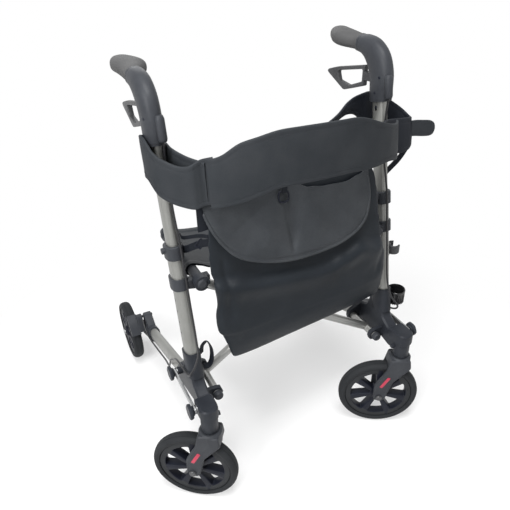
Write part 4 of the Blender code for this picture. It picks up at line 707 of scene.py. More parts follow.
# Handles: the gooseneck housing, the palm grip and the loop lever
handle = {
    "neck": (  # y, z, half width, half depth, lean in degrees
        (-0.1199, 0.8130, 0.0180, 0.0275, 10.2), (-0.1185, 0.8380, 0.0182, 0.0290, 11),
        (-0.1150, 0.8660, 0.0186, 0.0300, 17), (-0.1025, 0.8920, 0.0190, 0.0300, 33),
        (-0.0825, 0.9090, 0.0190, 0.0255, 55), (-0.0610, 0.9160, 0.0184, 0.0205, 78),
        (-0.0423, 0.9170, 0.0180, 0.0178, 90),
    ),
    "grip": (  # share along, half height, half width, sideways shift
        (0.00, 0.0172, 0.0172, 0.0), (0.05, 0.0176, 0.0180, 0.0), (0.085, 0.0160, 0.0166, 0.0),
        (0.22, 0.0162, 0.0216, -0.0035), (0.42, 0.0165, 0.0284, -0.0080), (0.62, 0.0162, 0.0288, -0.0060),
        (0.82, 0.0162, 0.0243, 0.0), (0.93, 0.0152, 0.0200, 0.0020), (0.98, 0.0125, 0.0171, 0.0022),
        (1.00, 0.0082, 0.0124, 0.0022),
    ),
    "gripEnds": ((-0.042, 0.917), (0.060, 0.924)),
    "gripArch": 0.002,
    "boss": {"foot": (0.243, 0.826), "ahead": 0.038, "way": (0, 0.16, 1)},  # the cable's outlet
    "bossSizes": ((0.0066, 0.0), (0.0074, 0.0012), (0.0085, 0.0050), (0.0085, 0.0385), (0.0080, 0.0415),
                  (0.0062, 0.0460)),
    "seams": (  # y, z, lean in degrees, half width, half depth: the stem's mouth and the joint at the neck
        (-0.1190, 0.8165, 10.2, 0.0181, 0.0278), (-0.0475, 0.9170, 88, 0.0181, 0.0184),
    ),
    "seamCut": ((0.004, -0.0005), (0.004, 0.0005), (-0.0006, 0.0005), (-0.0006, -0.0005)),
    "pivot": (-0.102, 0.853),
    "pin": {"half": 0.0165, "radius": 0.003},
    "mouth": (  # from the pivot
        (-0.011, -0.014, 0.008), (0.062, -0.036, 0), (0.062, 0.050, 0), (-0.011, 0.014, 0.008),
    ),
    "lug": ((-0.007, -0.007, 0.007), (0.042, -0.008, 0), (0.042, 0.010, 0), (-0.007, 0.007, 0.007)),
    "lever": (
        (-0.064, 0.876, 0.004), (0.040, 0.854, 0.030), (0.086, 0.840, 0.007),
        (0.010, 0.808, 0.014), (-0.022, 0.818, 0.012), (-0.064, 0.832, 0.004),
    ),
    "opening": (
        (-0.0565, 0.866, 0.004), (0.036, 0.8465, 0.006), (0.028, 0.8265, 0.006),
        (-0.010, 0.8225, 0.012), (-0.0565, 0.840, 0.005),
    ),
    "leverHalf": 0.0055,
    "slotRoom": 0.0008,
    "around": 44,
    "neckPower": 2.3,
    "gripPower": 2.45,
}
sidePlane = Matrix(((0, 0, 1, 0), (1, 0, 0, 0), (0, 1, 0, 0), (0, 0, 0, 1)))


def sweptRings(stations, g, around, power, steps=5):
    places = catmull([Vector((0, s[0], s[1])) for s in stations], steps)
    sizes = catmull([Vector(s[2:5]) for s in stations], steps)
    shifts = catmull([Vector((s[5] if len(s) > 5 else 0.0, 0, 0)) for s in stations], steps)
    rings = []
    for place, size, shift in zip(places, sizes, shifts):
        lean = math.radians(size.z)
        turn = axisFrame(at(g * (stemTrack + shift.x), place.y, place.z), (0, math.sin(lean), math.cos(lean)))
        rings.append([turn @ p for p in oval(size.x, size.y, around, power)])
    return rings


def makeHousing(s, g, plane, fromPivot):
    x, z = s["boss"]["foot"]
    turn = axisFrame(at(g * x, postY(z) - s["boss"]["ahead"], z), s["boss"]["way"])
    boss = loft([[turn @ p for p in oval(r, r, 28, z=along)] for r, along in s["bossSizes"]])
    room = s["leverHalf"] + s["slotRoom"]
    slot = plate(fromPivot(s["mouth"]), g * stemTrack - room, g * stemTrack + room, plane)
    seams = []
    for y, z, lean, wide, deep in s["seams"]:
        lean = math.radians(lean)
        turn = axisFrame(at(g * stemTrack, y, z), (0, math.sin(lean), math.cos(lean)))
        rings = [[turn @ p for p in oval(wide + grow, deep + grow, s["around"], s["neckPower"], along)]
                 for grow, along in s["seamCut"]]
        seams.append(loft(rings, closed=True, caps=False))
    neck = loft(sweptRings(s["neck"], g, s["around"], s["neckPower"]))
    return carved(neck, [boss], [slot, *seams])


def makeHandle(s, side, g):
    plane = Matrix.Translation(at(0, 0, 0)) @ sidePlane
    y, z = s["pivot"]
    fromPivot = lambda corners: roundedOutline([(y + ahead, z + up, radius) for ahead, up, radius in corners])
    housing, grip, lever = f"handle_housing_{side}", f"hand_grip_{side}", f"brake_lever_{side}"
    shell = makeHousing(s, g, plane, fromPivot)
    newPiece(f"{housing}_made", shell, charcoal, f"{side}_handle", [housing], sharp=40)

    (y0, z0), (y1, z1) = s["gripEnds"]
    stations = [
        (y0 + t * (y1 - y0), z0 + t * (z1 - z0) + s["gripArch"] * math.sin(math.pi * t), wide, high, 90, shift)
        for t, high, wide, shift in s["grip"]
    ]
    palm = tidyNormals(loft(sweptRings(stations, g, s["around"], s["gripPower"], 6)))
    newPiece(f"{grip}_made", palm, gripRubber, f"{side}_handle", [grip], sharp=55)

    low, high = g * stemTrack - s["leverHalf"], g * stemTrack + s["leverHalf"]
    loop = plate(roundedOutline(s["lever"]), low, high, plane, [roundedOutline(s["opening"])], 0.0022)
    tongue = plate(fromPivot(s["lug"]), low + 0.0005, high - 0.0005, plane)
    ends = [at(g * stemTrack + way * s["pin"]["half"], y, z) for way in (-1, 1)]
    hand = carved(loop, [tongue, rod(*ends, s["pin"]["radius"])])
    newPiece(f"{lever}_made", hand, leverPlastic, f"{side}_lever", [lever], sharp=38)


for side, g in sides.items():
    makeHandle(handle, side, g)
print("handles made")

# Small fittings: screws, the stem's catch button, washers at the knobs, and the cup's rim and ribs
fittings = {
    "screw": {"radius": 0.0029, "rise": 0.0005, "at": ((-0.130, 0.864), (-0.121, 0.832))},
    "button": {"radius": 0.0034, "rise": 0.0006, "at": (-0.122, 0.801), "wall": 0.01125},
    "head": (  # share of the radius, share of the rise: recess, crown and rim
        (0.0, 0.3), (0.42, 0.3), (0.48, 1.0), (0.85, 0.9), (1.0, 0.2),
    ),
    "sunk": 0.0012,
    "washer": {"radius": 0.0105, "thick": 0.0024, "at": ((-0.276, 0.285), (-0.149, 0.285)), "face": 0.2771},
    "cup": {"centre": (0.2913, -0.2051), "outer": 0.0226, "inner": 0.0196, "low": 0.3555, "high": 0.3620},
    "rib": {"count": 28, "radius": 0.0009, "foot": 0.3265, "length": 0.0300, "fromCentre": 0.0213},
}


# The head of a screw or a button as a pattern; its axis is Z
def headPattern(name, s, radius, rise):
    profile = [(max(share * radius, 0.0001), up * rise) for share, up in s["head"]]
    profile += [(radius, -s["sunk"]), (0.0001, -s["sunk"])]
    return patternPiece(name, tidyNormals(loft([oval(r, r, 20, z=along) for r, along in profile])), 35)


def makeFittings(s):
    screw = headPattern("screwPattern", s, s["screw"]["radius"], s["screw"]["rise"])
    button = headPattern("buttonPattern", s, s["button"]["radius"], s["button"]["rise"])
    ends = {"in": -1, "out": 1}
    for side, g in sides.items():
        shell = bpy.data.objects[f"handle_housing_{side}_made"].data
        tree = BVHTree.FromPolygons([p.co for p in shell.vertices], [tuple(face.vertices) for face in shell.polygons])
        heads = {}
        for number, (y, z) in enumerate(s["screw"]["at"]):
            for end, way in ends.items():
                hit = tree.ray_cast(at(g * stemTrack + way * 0.1, y, z), Vector((-way, 0, 0)))
                heads[f"housing_screw_{side}_{number}_{end}"] = (screw, hit[0], hit[1])
        for end, way in ends.items():
            place = at(g * stemTrack + way * s["button"]["wall"], *s["button"]["at"])
            heads[f"stem_button_{side}_{end}"] = (button, place, Vector((way, 0, 0)))
        for name, (pattern, place, facing) in heads.items():
            spotted(name, pattern, [(place, facing)], rimPlastic, f"{side}_handle")
        for number, spot in enumerate(s["washer"]["at"]):
            face = g * s["washer"]["face"]
            ring = rod(at(face - g * s["washer"]["thick"], *spot), at(face, *spot), s["washer"]["radius"], 32, 0.0004)
            newPiece(f"knob_washer_{side}_{number}", tidyNormals(ring), zinc, f"{side}_frame", slot="zinc_steel")
    cup, rib = s["cup"], s["rib"]
    middle, half = (cup["low"] + cup["high"]) / 2, (cup["high"] - cup["low"]) / 2
    wide = (cup["outer"] - cup["inner"]) / 2
    rings = []
    for step in range(12):
        turn = wayOut(step, 12)
        centre, reach = at(*cup["centre"], middle + half * turn.y), cup["inner"] + wide + wide * turn.x
        rings.append([centre + wayOut(k, 64) * reach for k in range(64)])
    rim = tidyNormals(loft(rings, closed=True, caps=False))
    newPiece("cup_rim", rim, cupGloss, "right_frame", slot=nodeSlot["cane_cup"])
    bar = patternPiece("ribPattern", tidyNormals(rod((0, 0, 0), (0, 0, rib["length"]), rib["radius"], 8)), 35)
    foot = at(*cup["centre"], rib["foot"])
    places = [foot + wayOut(number, rib["count"]) * rib["fromCentre"] for number in range(rib["count"])]
    spots = [(place, Vector((0, 0, 1))) for place in places]
    spotted("cup_ribs", bar, spots, cupGloss, "right_frame")


makeFittings(fittings)
print("fittings made")

# Tyres and rims
wheels = {
    "radius": {"front": 0.100, "rear": 0.089},
    "casterStem": (0.255, -0.290),
    "trail": 0.043,
    "rearAxle": (0.294, 0.290),
    "headings": {"left": math.radians(144), "right": math.radians(151)},
    "tyreWidth": 0.030,
    "tyreDepth": 0.0165,
    "rimBand": 0.0135,
    "rimWidth": 0.022,
    "hubRadius": 0.017,
    "hubWidth": 0.036,
    "hubEase": ((0.0045, 0.0), (0.0030, 0.0006), (0.0, 0.0040)),
    "bore": 0.0043,
    "seatGap": 0.0003,
    "rimRound": 0.0016,
    "bandOverlap": 0.0022,
    "spokes": 7,
    "windowFromHub": 0.004,
    "windowFoot": (0.005, 0.003, 1),  # half a spoke's width, corner radius, steps along the edge
    "windowHead": (0.009, 0.006, 6),
    "mark": ((0.0235, 0.170), (0.0415, 0.136)),
    "markWidth": 0.0078,
    "markCorner": 0.0028,
    "markFaces": (-0.0004, 0.0005),  # sunk into the arm and proud of it
    "armFace": 0.0255,
}


def tyreProfile(s, radius):
    half, depth = s["tyreWidth"] / 2, s["tyreDepth"]
    inner = radius - depth
    # (radius, along the axle): bead, sidewall, shoulder, tread with two fine grooves
    right = [
        (inner + 0.0003, 0.0100), (inner + 0.0006, 0.0128), (inner + 0.0030, half - 0.0010),
        (inner + 0.0060, half), (radius - 0.0068, half - 0.0004), (radius - 0.0040, half - 0.0024),
        (radius - 0.0018, half - 0.0056), (radius - 0.0008, half - 0.0078), (radius - 0.0016, half - 0.0083),
        (radius - 0.0016, half - 0.0089), (radius - 0.0003, half - 0.0096), (radius, 0.0025), (radius, 0.0),
    ]
    left = [(r, -a) for r, a in reversed(right[:-1])]
    return right + left


# One window between two spokes: two corners at the hub and an arc under the rim band
def windowOutline(s, index, inner, outer):
    pitch = 2 * math.pi / s["spokes"]
    corners = []
    for radius, (half, corner, steps), way in ((inner, s["windowFoot"], 1), (outer, s["windowHead"], -1)):
        spread = pitch / 2 - half / radius
        for step in range(steps + 1):
            angle = (index + 0.5) * pitch - way * spread * (1 - 2 * step / steps)
            corners.append((radius * math.cos(angle), radius * math.sin(angle), 0 if 0 < step < steps else corner))
    return roundedOutline(corners, 5)


def makeRim(s, name, radius, centre, axis):
    turn = axisFrame(centre, axis, (0, 0, 1))
    outer = radius - s["tyreDepth"] - s["seatGap"]
    foot, head = s["hubRadius"] + s["windowFromHub"], outer - s["rimBand"]
    windows = [windowOutline(s, i, foot, head) for i in range(s["spokes"])]
    half, hub = s["rimWidth"] / 2, s["hubWidth"] / 2 - s["seatGap"]
    disc = plate([p.xy for p in oval(outer, outer, 96)], -half, half, turn, windows, s["rimRound"], 2)
    taper = [(s["hubRadius"] - less, hub - back) for less, back in s["hubEase"]]
    sizes = [(r, -along) for r, along in taper] + taper[::-1]
    middle = loft([[turn @ p for p in oval(r, r, 40, z=along)] for r, along in sizes])
    bore = loft([[turn @ p for p in oval(s["bore"], s["bore"], 24, z=along)] for along in (-0.05, 0.05)])
    wheel = carved(disc, [middle], [bore])
    for face in wheel.faces:
        face.material_index = int((face.calc_center_median() - centre).length > head + s["bandOverlap"])
    piece = newPiece(f"{name}_made", wheel, rimPlastic, bodyOf[name], [name], sharp=38)
    piece.data.materials.append(rimBandPlastic)


for end, radius in wheels["radius"].items():
    for side, g in sides.items():
        x, y = wheels["casterStem"] if end == "front" else wheels["rearAxle"]
        centre, axis = at(g * x, y, radius), Vector((1, 0, 0))
        if end == "front":
            heading = wheels["headings"][side]
            centre += Vector((math.cos(heading), math.sin(heading), 0)) * wheels["trail"]
            axis = Vector((math.sin(heading), -math.cos(heading), 0))
        node = f"{end}_tyre_{side}"
        tyre = tidyNormals(revolved(tyreProfile(wheels, radius), centre, axis, 120))
        newPiece(f"{node}_made", tyre, tyreRubber, bodyOf[node], [node], sharp=50)
        makeRim(wheels, f"{end}_rim_{side}", radius, centre, axis)

# Fork hardware: dark bolts and the plain red mark on the arms' outer faces
for side, g in sides.items():
    finishedNode(f"front_axle_{side}", 0.0006, darkSteel)
    x, y = wheels["casterStem"]
    turn = Matrix.Translation(at(g * x, y, 0)) @ Matrix.Rotation(wheels["headings"][side], 4, "Z")
    fork = turn @ Matrix(((1, 0, 0, 0), (0, 0, 1, 0), (0, 1, 0, 0), (0, 0, 0, 1)))
    (x0, z0), (x1, z1) = wheels["mark"]
    along = Vector((x1 - x0, z1 - z0)).normalized()
    out = Vector((-along.y, along.x)) * wheels["markWidth"] / 2
    corners = [Vector((x0, z0)) - out, Vector((x1, z1)) - out, Vector((x1, z1)) + out, Vector((x0, z0)) + out]
    outline = roundedOutline([(*p, wheels["markCorner"]) for p in corners])
    for way in (-1, 1):
        low, high = sorted(way * (wheels["armFace"] + rise) for rise in wheels["markFaces"])
        mark = plate(outline, low, high, fork, bevel=0.0003, rim=1)
        newPiece(f"fork_mark_{side}_{'out' if way * g > 0 else 'in'}", tidyNormals(mark), redMark,
                 f"{side}_caster", slot="charcoal_plastic")
print("wheels made")


# Soft unevenness of cloth, in layers of (depth, size, seed)
def ripples(point, layers):
    return sum(depth * noise.noise(point / size + seed * Vector((1, -1, 2))) for depth, size, seed in layers)


# Cloth between the frames narrows towards the left rail when the walker folds; here that is only a point by the left
# rail, which nothing uses, and foldsWith only gives a piece its own copy of its mesh
foldHinge = at(-railTrack, -0.179, 0.4)


def foldsWith(piece):
    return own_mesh(piece)


# Stitches along the cloth's seams
sewing = {"length": 0.0028, "radius": 0.00042, "spacing": 0.0042,
          "shape": ((-1, 0.25), (-0.7, 0.9), (0, 1.15), (0.7, 0.9), (1, 0.25))}


def stitchShape(s):
    rings = [oval(s["radius"] * size, s["radius"] * size, 6, z=along * s["length"] / 2) for along, size in s["shape"]]
    return patternPiece("stitchPattern", tidyNormals(loft(rings)), 180)


stitch = stitchShape(sewing)


def stitched(name, points, body):
    curve = bpy.data.curves.new(name + "Path", "CURVE")
    curve.dimensions = "3D"
    spline = curve.splines.new("POLY")
    spline.points.add(len(points) - 1)
    for spot, point in zip(spline.points, points):
        spot.co = (*point, 1)
    inputs = {"Piece": stitch, "Spacing": sewing["spacing"], "Finish": thread}
    return grown(name, curve, rowNodes, inputs, body)


# Back band: a padded strip with bound edges, looped round each stem
band = {
    "thickness": 0.0058,
    "binding": 0.0085,
    "bow": -0.285,
    "bowEnd": -0.128,
    "bowReach": 0.262,
    "bowPower": 0.9,
    "lean": 2.5,  # times x squared
    "loopEnd": 9,  # the station of the right loop where the part that folds begins
    "tabCloth": {"thickness": 0.0044, "binding": 0.004},
    "leftLoop": (  # x, y, height, half height, lean
        (-0.193, -0.222, 0.764, 0.036, 0.08), (-0.214, -0.190, 0.766, 0.038, 0.12),
        (-0.227, -0.150, 0.770, 0.038, 0.18), (-0.229, -0.110, 0.772, 0.038, 0.18),
        (-0.250, -0.086, 0.778, 0.038, 0.18), (-0.2695, -0.103, 0.788, 0.040, 0.08),
        (-0.2725, -0.134, 0.792, 0.040, 0.05), (-0.266, -0.164, 0.773, 0.039, 0.08),
        (-0.250, -0.186, 0.762, 0.038, 0.12), (-0.233, -0.205, 0.757, 0.0375, 0.12),
        (-0.219, -0.216, 0.757, 0.0395, 0.12), (-0.208, -0.217, 0.760, 0.0410, 0.12),
        (-0.196, -0.218, 0.763, 0.0420, 0.12), (-0.180, -0.228, 0.766, 0.0430, 0.12),
    ),
    "strip": (  # x, height, half height, set back
        (-0.193, 0.7655, 0.0455, 0.0050), (-0.184, 0.7680, 0.0450, 0.0005), (-0.170, 0.7725, 0.0470, 0.0),
        (-0.145, 0.7840, 0.0530, 0.0), (-0.115, 0.7930, 0.0530, 0.0), (-0.080, 0.8020, 0.0520, 0.0),
        (-0.040, 0.8030, 0.0520, 0.0), (0.000, 0.8020, 0.0520, 0.0), (0.040, 0.8005, 0.0515, 0.0),
        (0.075, 0.7980, 0.0510, 0.0), (0.105, 0.7915, 0.0490, 0.0), (0.140, 0.7825, 0.0430, 0.0),
        (0.180, 0.7725, 0.0370, 0.0), (0.215, 0.7610, 0.0370, 0.0), (0.238, 0.7550, 0.0385, 0.0010),
    ),
    "rightLoop": (
        (0.196, -0.206, 0.7640, 0.0330, 0.10), (0.224, -0.182, 0.7560, 0.0350, 0.14),
        (0.250, -0.172, 0.7500, 0.0360, 0.16), (0.285, -0.165, 0.7440, 0.0360, 0.18),
        (0.312, -0.154, 0.7440, 0.0310, 0.18), (0.324, -0.134, 0.7500, 0.0220, 0.18),
        (0.317, -0.112, 0.7600, 0.0260, 0.18), (0.290, -0.094, 0.7700, 0.0370, 0.18),
        (0.255, -0.088, 0.7820, 0.0410, 0.18), (0.222, -0.098, 0.7950, 0.0310, 0.18),
        (0.191, -0.112, 0.8090, 0.0188, 0.10), (0.157, -0.132, 0.8135, 0.0118, 0.04),
        (0.123, -0.158, 0.8130, 0.0070, 0.0), (0.084, -0.190, 0.8150, 0.0056, 0.0),
        (0.038, -0.228, 0.8200, 0.0054, 0.0), (0.004, -0.256, 0.8200, 0.0054, 0.0),
        (-0.022, -0.2745, 0.8190, 0.0054, 0.0), (-0.046, -0.2790, 0.8180, 0.0054, 0.0),
    ),
    "sideStrap": (
        (0.3220, -0.1400, 0.742), (0.3235, -0.1410, 0.728), (0.3205, -0.1420, 0.709),
        (0.3090, -0.1440, 0.693), (0.2910, -0.1480, 0.679), (0.2680, -0.1520, 0.666), (0.2480, -0.1580, 0.658),
    ),
    "tab": (
        (0.314, -0.153, 0.7505, 0.0175, 0.0), (0.330, -0.151, 0.7480, 0.0180, 0.0),
        (0.350, -0.150, 0.7440, 0.0183, 0.0), (0.366, -0.149, 0.7410, 0.0181, 0.0),
        (0.3750, -0.149, 0.7392, 0.0166, 0.0), (0.3815, -0.149, 0.7380, 0.0128, 0.0),
        (0.3848, -0.149, 0.7373, 0.0070, 0.0),
    ),
}
webShape = {"steps": 6, "bindingShare": 0.45, "seamInset": 0.0022, "stitchRise": 0.46,
            "ripples": ((1.0, 0.045, 3.1), (0.5, 0.018, 7.7))}


def bandY(s, x):
    bow = math.sqrt(max(0.0, 1 - (x / s["bowReach"]) ** 2))
    return s["bowEnd"] + (s["bow"] - s["bowEnd"]) * bow ** s["bowPower"]


# Stations of (x, y, height, half height, lean), five numbers that are smoothed together
def smoothStations(stations, steps):
    return catmull([s[:3] for s in stations], steps), catmull([(*s[3:], 0) for s in stations], steps)


# (height across in metres, thickness share) of a bound edge, its groove and the padded middle
def stripAcross(half, inner):
    side = [(half, 0.35), (half - 0.0006, 0.75), (half - 0.0020, 0.92), (inner + 0.0012, 0.92), (inner, 0.84),
            (inner - 0.0016, 0.92), (inner * 0.75, 1.0), (inner * 0.4, 1.06)]
    return [(-height, share) for height, share in side] + [(0, 1.08)] + side[::-1]


def webStrip(name, stations, s, body, stands=(), wrinkle=0.0012, finish=webbing):
    places, shapes = smoothStations(stations, webShape["steps"])
    rings, lines = [], {"low": [], "high": []}
    for i, (place, shape) in enumerate(zip(places, shapes)):
        half, lean = shape.x, shape.y
        inner = half - min(s["binding"], half * webShape["bindingShare"])
        ahead = aheadAt(places, i)
        ahead.z = 0
        ahead.normalize()
        out = Vector((ahead.y, -ahead.x, 0))
        up = Vector((0, lean, 1))
        front, rear = [], []
        for height, share in stripAcross(half, inner):
            spot = place + up * height
            push = wrinkle * ripples(spot, webShape["ripples"])
            push *= max(0.0, 1 - (abs(height) / half) ** 4)
            thick = s["thickness"] / 2 * share
            front.append(at(*(spot + out * (thick + push))))
            rear.append(at(*(spot - out * (thick - push))))
        seam, rise = inner - webShape["seamInset"], s["thickness"] * webShape["stitchRise"]
        for edge, across in (("low", -seam), ("high", seam)):
            lines[edge].append(at(*(place + up * across + out * rise)))
        rings.append(front + rear[::-1])
    piece = newPiece(name, tidyNormals(loft(rings)), finish, body, stands, "webbing", sharp=70)
    return piece, [stitched(f"{name}_stitch_{edge}", line, body) for edge, line in lines.items()]


def makeBand(s):
    strip = [(x, bandY(s, x) + back, rise, half, s["lean"] * x * x) for x, rise, half, back in s["strip"]]
    cut = s["loopEnd"]
    start, rest = s["rightLoop"][: cut + 1], s["rightLoop"][cut:]
    left = webStrip("band_left_loop", s["leftLoop"], s, "left_frame", ["backrest_band"], 0.0008)[0]
    middle, middleRows = webStrip("band_middle", strip, s, "left_frame")
    # The right loop and its tail take the dark webbing as painted shade where the band wraps round the stem
    right = webStrip("band_right_loop", start, s, "right_frame", wrinkle=0.0008, finish=darkNylonAndPaintedShade)[0]
    tail, tailRows = webStrip("band_right_tail", rest, s, "left_frame", finish=darkNylonAndPaintedShade)
    for piece in (middle, *middleRows, tail, *tailRows):
        foldsWith(piece)
    webStrip("band_pull_tab", s["tab"], s["tabCloth"], "right_frame", wrinkle=0.0)


makeBand(band)
print("band sewn")

# Bag: a lofted pouch, slack above its fold and fuller below, gathered at its sides
bag = {
    "sections": (  # low edge's height at the left and at the right, left side, right side, y, half depth
        (0.351, 0.394, -0.160, 0.196, -0.2300, 0.0060), (0.356, 0.400, -0.168, 0.206, -0.2300, 0.0110),
        (0.385, 0.420, -0.178, 0.210, -0.2320, 0.0160), (0.420, 0.445, -0.190, 0.212, -0.2330, 0.0180),
        (0.440, 0.460, -0.201, 0.213, -0.2330, 0.0185), (0.500, 0.500, -0.206, 0.213, -0.2310, 0.0165),
        (0.556, 0.556, -0.209, 0.198, -0.2305, 0.0160), (0.600, 0.600, -0.206, 0.190, -0.2280, 0.0160),
        (0.640, 0.640, -0.200, 0.184, -0.2245, 0.0135), (0.676, 0.676, -0.195, 0.180, -0.2200, 0.0105),
        (0.700, 0.700, -0.192, 0.174, -0.2170, 0.0080), (0.714, 0.714, -0.186, 0.168, -0.2150, 0.0062),
    ),
    "leftEdge": (  # height, how far the side is drawn in
        (0.35, 0.000), (0.395, 0.002), (0.447, 0.004), (0.479, 0.006), (0.505, 0.012),
        (0.530, 0.013), (0.552, 0.012), (0.587, 0.006), (0.635, 0.000), (0.72, 0.000),
    ),
    "around": 168,
    "steps": 9,
    "ridge": ((-0.21, 0.545), (-0.165, 0.540), (-0.089, 0.531), (-0.025, 0.525), (0.030, 0.518),
              (0.062, 0.519), (0.090, 0.529), (0.140, 0.544), (0.185, 0.530)),
    "ridgeRise": 0.0115,
    "ridgeSpread": (0.014, 0.030),  # above and below its line
    "valley": 0.0135,
    "valleyFrom": (0.004, 0.022),  # where it starts above the ridge and the height over which it deepens
    "valleyFade": (0.62, 0.650, 0.05),  # least share, the height where it is reached, the fade's length
    "corner": 3.2,
    "drawnZone": 0.22,
    "ripples": ((0.0013, 0.085, 1.3), (0.00065, 0.036, 4.2), (0.00026, 0.014, 2.9)),
    "gatherZone": (0.43, 0.07),
    "gathers": {"left": ((0.0018, 0.021, 0.7), (0.00108, 0.009, 3.3)),
                "right": ((0.0018, 0.021, 9.1), (0.00108, 0.009, 3.3))},
    "folds": (  # from (x, z), to (x, z), depth, width
        ((-0.176, 0.600), (-0.168, 0.470), 0.0042, 0.0060), ((-0.190, 0.560), (-0.186, 0.440), -0.0030, 0.0070),
        ((-0.152, 0.560), (-0.160, 0.410), -0.0016, 0.0120), ((-0.120, 0.455), (0.060, 0.440), 0.0012, 0.0200),
        ((0.205, 0.560), (0.190, 0.470), 0.0026, 0.0080), ((0.060, 0.480), (0.180, 0.500), -0.0016, 0.0150),
        ((-0.140, 0.400), (0.120, 0.432), -0.0010, 0.0140),
    ),
}


def ease(t):
    t = min(max(t, 0.0), 1.0)
    return t * t * (3 - 2 * t)


def alongTable(table, x):
    for (x0, z0), (x1, z1) in zip(table, table[1:]):
        if x <= x1:
            return z0 + (z1 - z0) * ease((x - x0) / (x1 - x0))
    return table[-1][1]


# How far folds drawn as lines push the cloth back at one place of a sheet
def foldPush(folds, x, z, crisp=False):
    push = 0.0
    for (x0, z0), (x1, z1), depth, width in folds:
        line = Vector((x1 - x0, z1 - z0))
        t = Vector((x - x0, z - z0)).dot(line) / line.length_squared
        near = Vector((x0, z0)) + line * min(max(t, 0), 1)
        away = (Vector((x, z)) - near).length / width
        fade = ease((1.12 - t) / 0.3) * ease((t + 0.25) / 0.35)
        push += depth * fade * (math.exp(-away) if crisp and depth > 0 else math.exp(-away * away))
    return push


def bagPush(s, x, z):
    rise = z - alongTable(s["ridge"], x)
    above, below = s["ridgeSpread"]
    start, over = s["valleyFrom"]
    least, top, fade = s["valleyFade"]
    swell = s["ridgeRise"] * math.exp(-((rise / (above if rise > 0 else below)) ** 2))
    hollow = s["valley"] * ease((rise - start) / over) * (least + (1 - least) * ease((top - z) / fade))
    return hollow - swell + foldPush(s["folds"], x, z)


def makeBag(s):
    tall = catmull([section[:3] for section in s["sections"]], s["steps"])
    wide = catmull([section[3:] for section in s["sections"]], s["steps"])
    zone, reach = s["gatherZone"]
    rings = []
    for (lowLeft, lowRight, left), (right, y, depth) in zip(tall, wide):
        ring = oval((right - left) / 2, depth, s["around"], s["corner"])
        for point in ring:
            point.x += (left + right) / 2
            share = (point.x - left) / (right - left)
            front = max(0.0, -point.y / depth)
            point.y += y
            point.z = lowLeft + (lowRight - lowLeft) * share
            point.x += alongTable(s["leftEdge"], point.z) * ease(1 - share / s["drawnZone"])
            point.y += front * bagPush(s, point.x, point.z)
            point.y -= front * ripples(point, s["ripples"])
            edge = ease((abs(share - 0.5) - zone) / reach)
            point.x += edge * ripples(Vector((0, 0, point.z)), s["gathers"]["left" if share < 0.5 else "right"])
        rings.append([at(*point) for point in ring])
    pouch = newPiece("bag_pouch", tidyNormals(loft(rings)), nylon, "left_frame", ["bag_body"], sharp=75)
    foldsWith(pouch)


makeBag(bag)

# Flap: a half-oval sheet with a bound hem, pinched into folds under its ring
flap = {
    "hem": (
        (-0.203, 0.704), (-0.199, 0.688), (-0.190, 0.664), (-0.175, 0.638), (-0.155, 0.615), (-0.131, 0.600),
        (-0.100, 0.589), (-0.069, 0.581), (-0.036, 0.576), (-0.001, 0.575), (0.035, 0.577), (0.071, 0.581),
        (0.103, 0.590), (0.128, 0.602), (0.145, 0.619), (0.155, 0.645), (0.157, 0.672), (0.154, 0.702),
    ),
    "top": 0.722,
    "topEdge": ((-0.210, 0.722), (-0.020, 0.722), (0.017, 0.709), (0.050, 0.704), (0.100, 0.702), (0.134, 0.708),
                (0.156, 0.716)),
    "bottom": 0.549,
    "hang": {"top": -0.2215, "belly": 0.0280, "sides": 0.006, "middle": -0.017, "half": 0.185},
    "seam": {"fromHem": 0.0075, "width": 0.0014, "depth": 0.0007, "row": 60},
    "thickness": 0.0024,
    "rows": 64,
    "steps": 10,
    "binding": (0.0030, 0.0024),
    "standOff": {"depth": 0.0130, "from": 0.075},  # how the hem stands off, from this far below the top
    "stiffHem": {"reach": 0.016, "share": 0.25},  # folds fade to this share at the hem
    "ripples": ((0.0014, 0.060, 5.5), (0.0007, 0.024, 8.8)),
    "pucker": {"depth": 0.05, "pitch": 1.7, "layers": ((0.05, 0.012, 6.1),), "ends": 0.6},
    "spare": (0.012, 0.020, 1.09),  # added to the flat width and height, and the cloth's fullness
    "dent": {"tip": (-0.032, 0.589), "end": (-0.018, 0.700), "width": (0.003, 0.024), "depth": 0.0065, "power": 0.35},
    "folds": (
        ((-0.042, 0.690), (-0.033, 0.595), 0.0026, 0.0045),
        ((0.006, 0.688), (-0.030, 0.597), 0.0022, 0.0050),
        ((-0.045, 0.716), (-0.160, 0.655), 0.0024, 0.0100),
    ),
    "lobes": (  # x, z, across, up, rise towards the front
        (-0.088, 0.640, 0.034, 0.044, 0.0085), (0.020, 0.645, 0.036, 0.046, 0.0075),
        (0.100, 0.640, 0.042, 0.040, 0.0030), (-0.150, 0.660, 0.026, 0.030, 0.0022),
        (-0.060, 0.592, 0.050, 0.016, 0.0020), (0.050, 0.586, 0.060, 0.016, 0.0022),
    ),
}


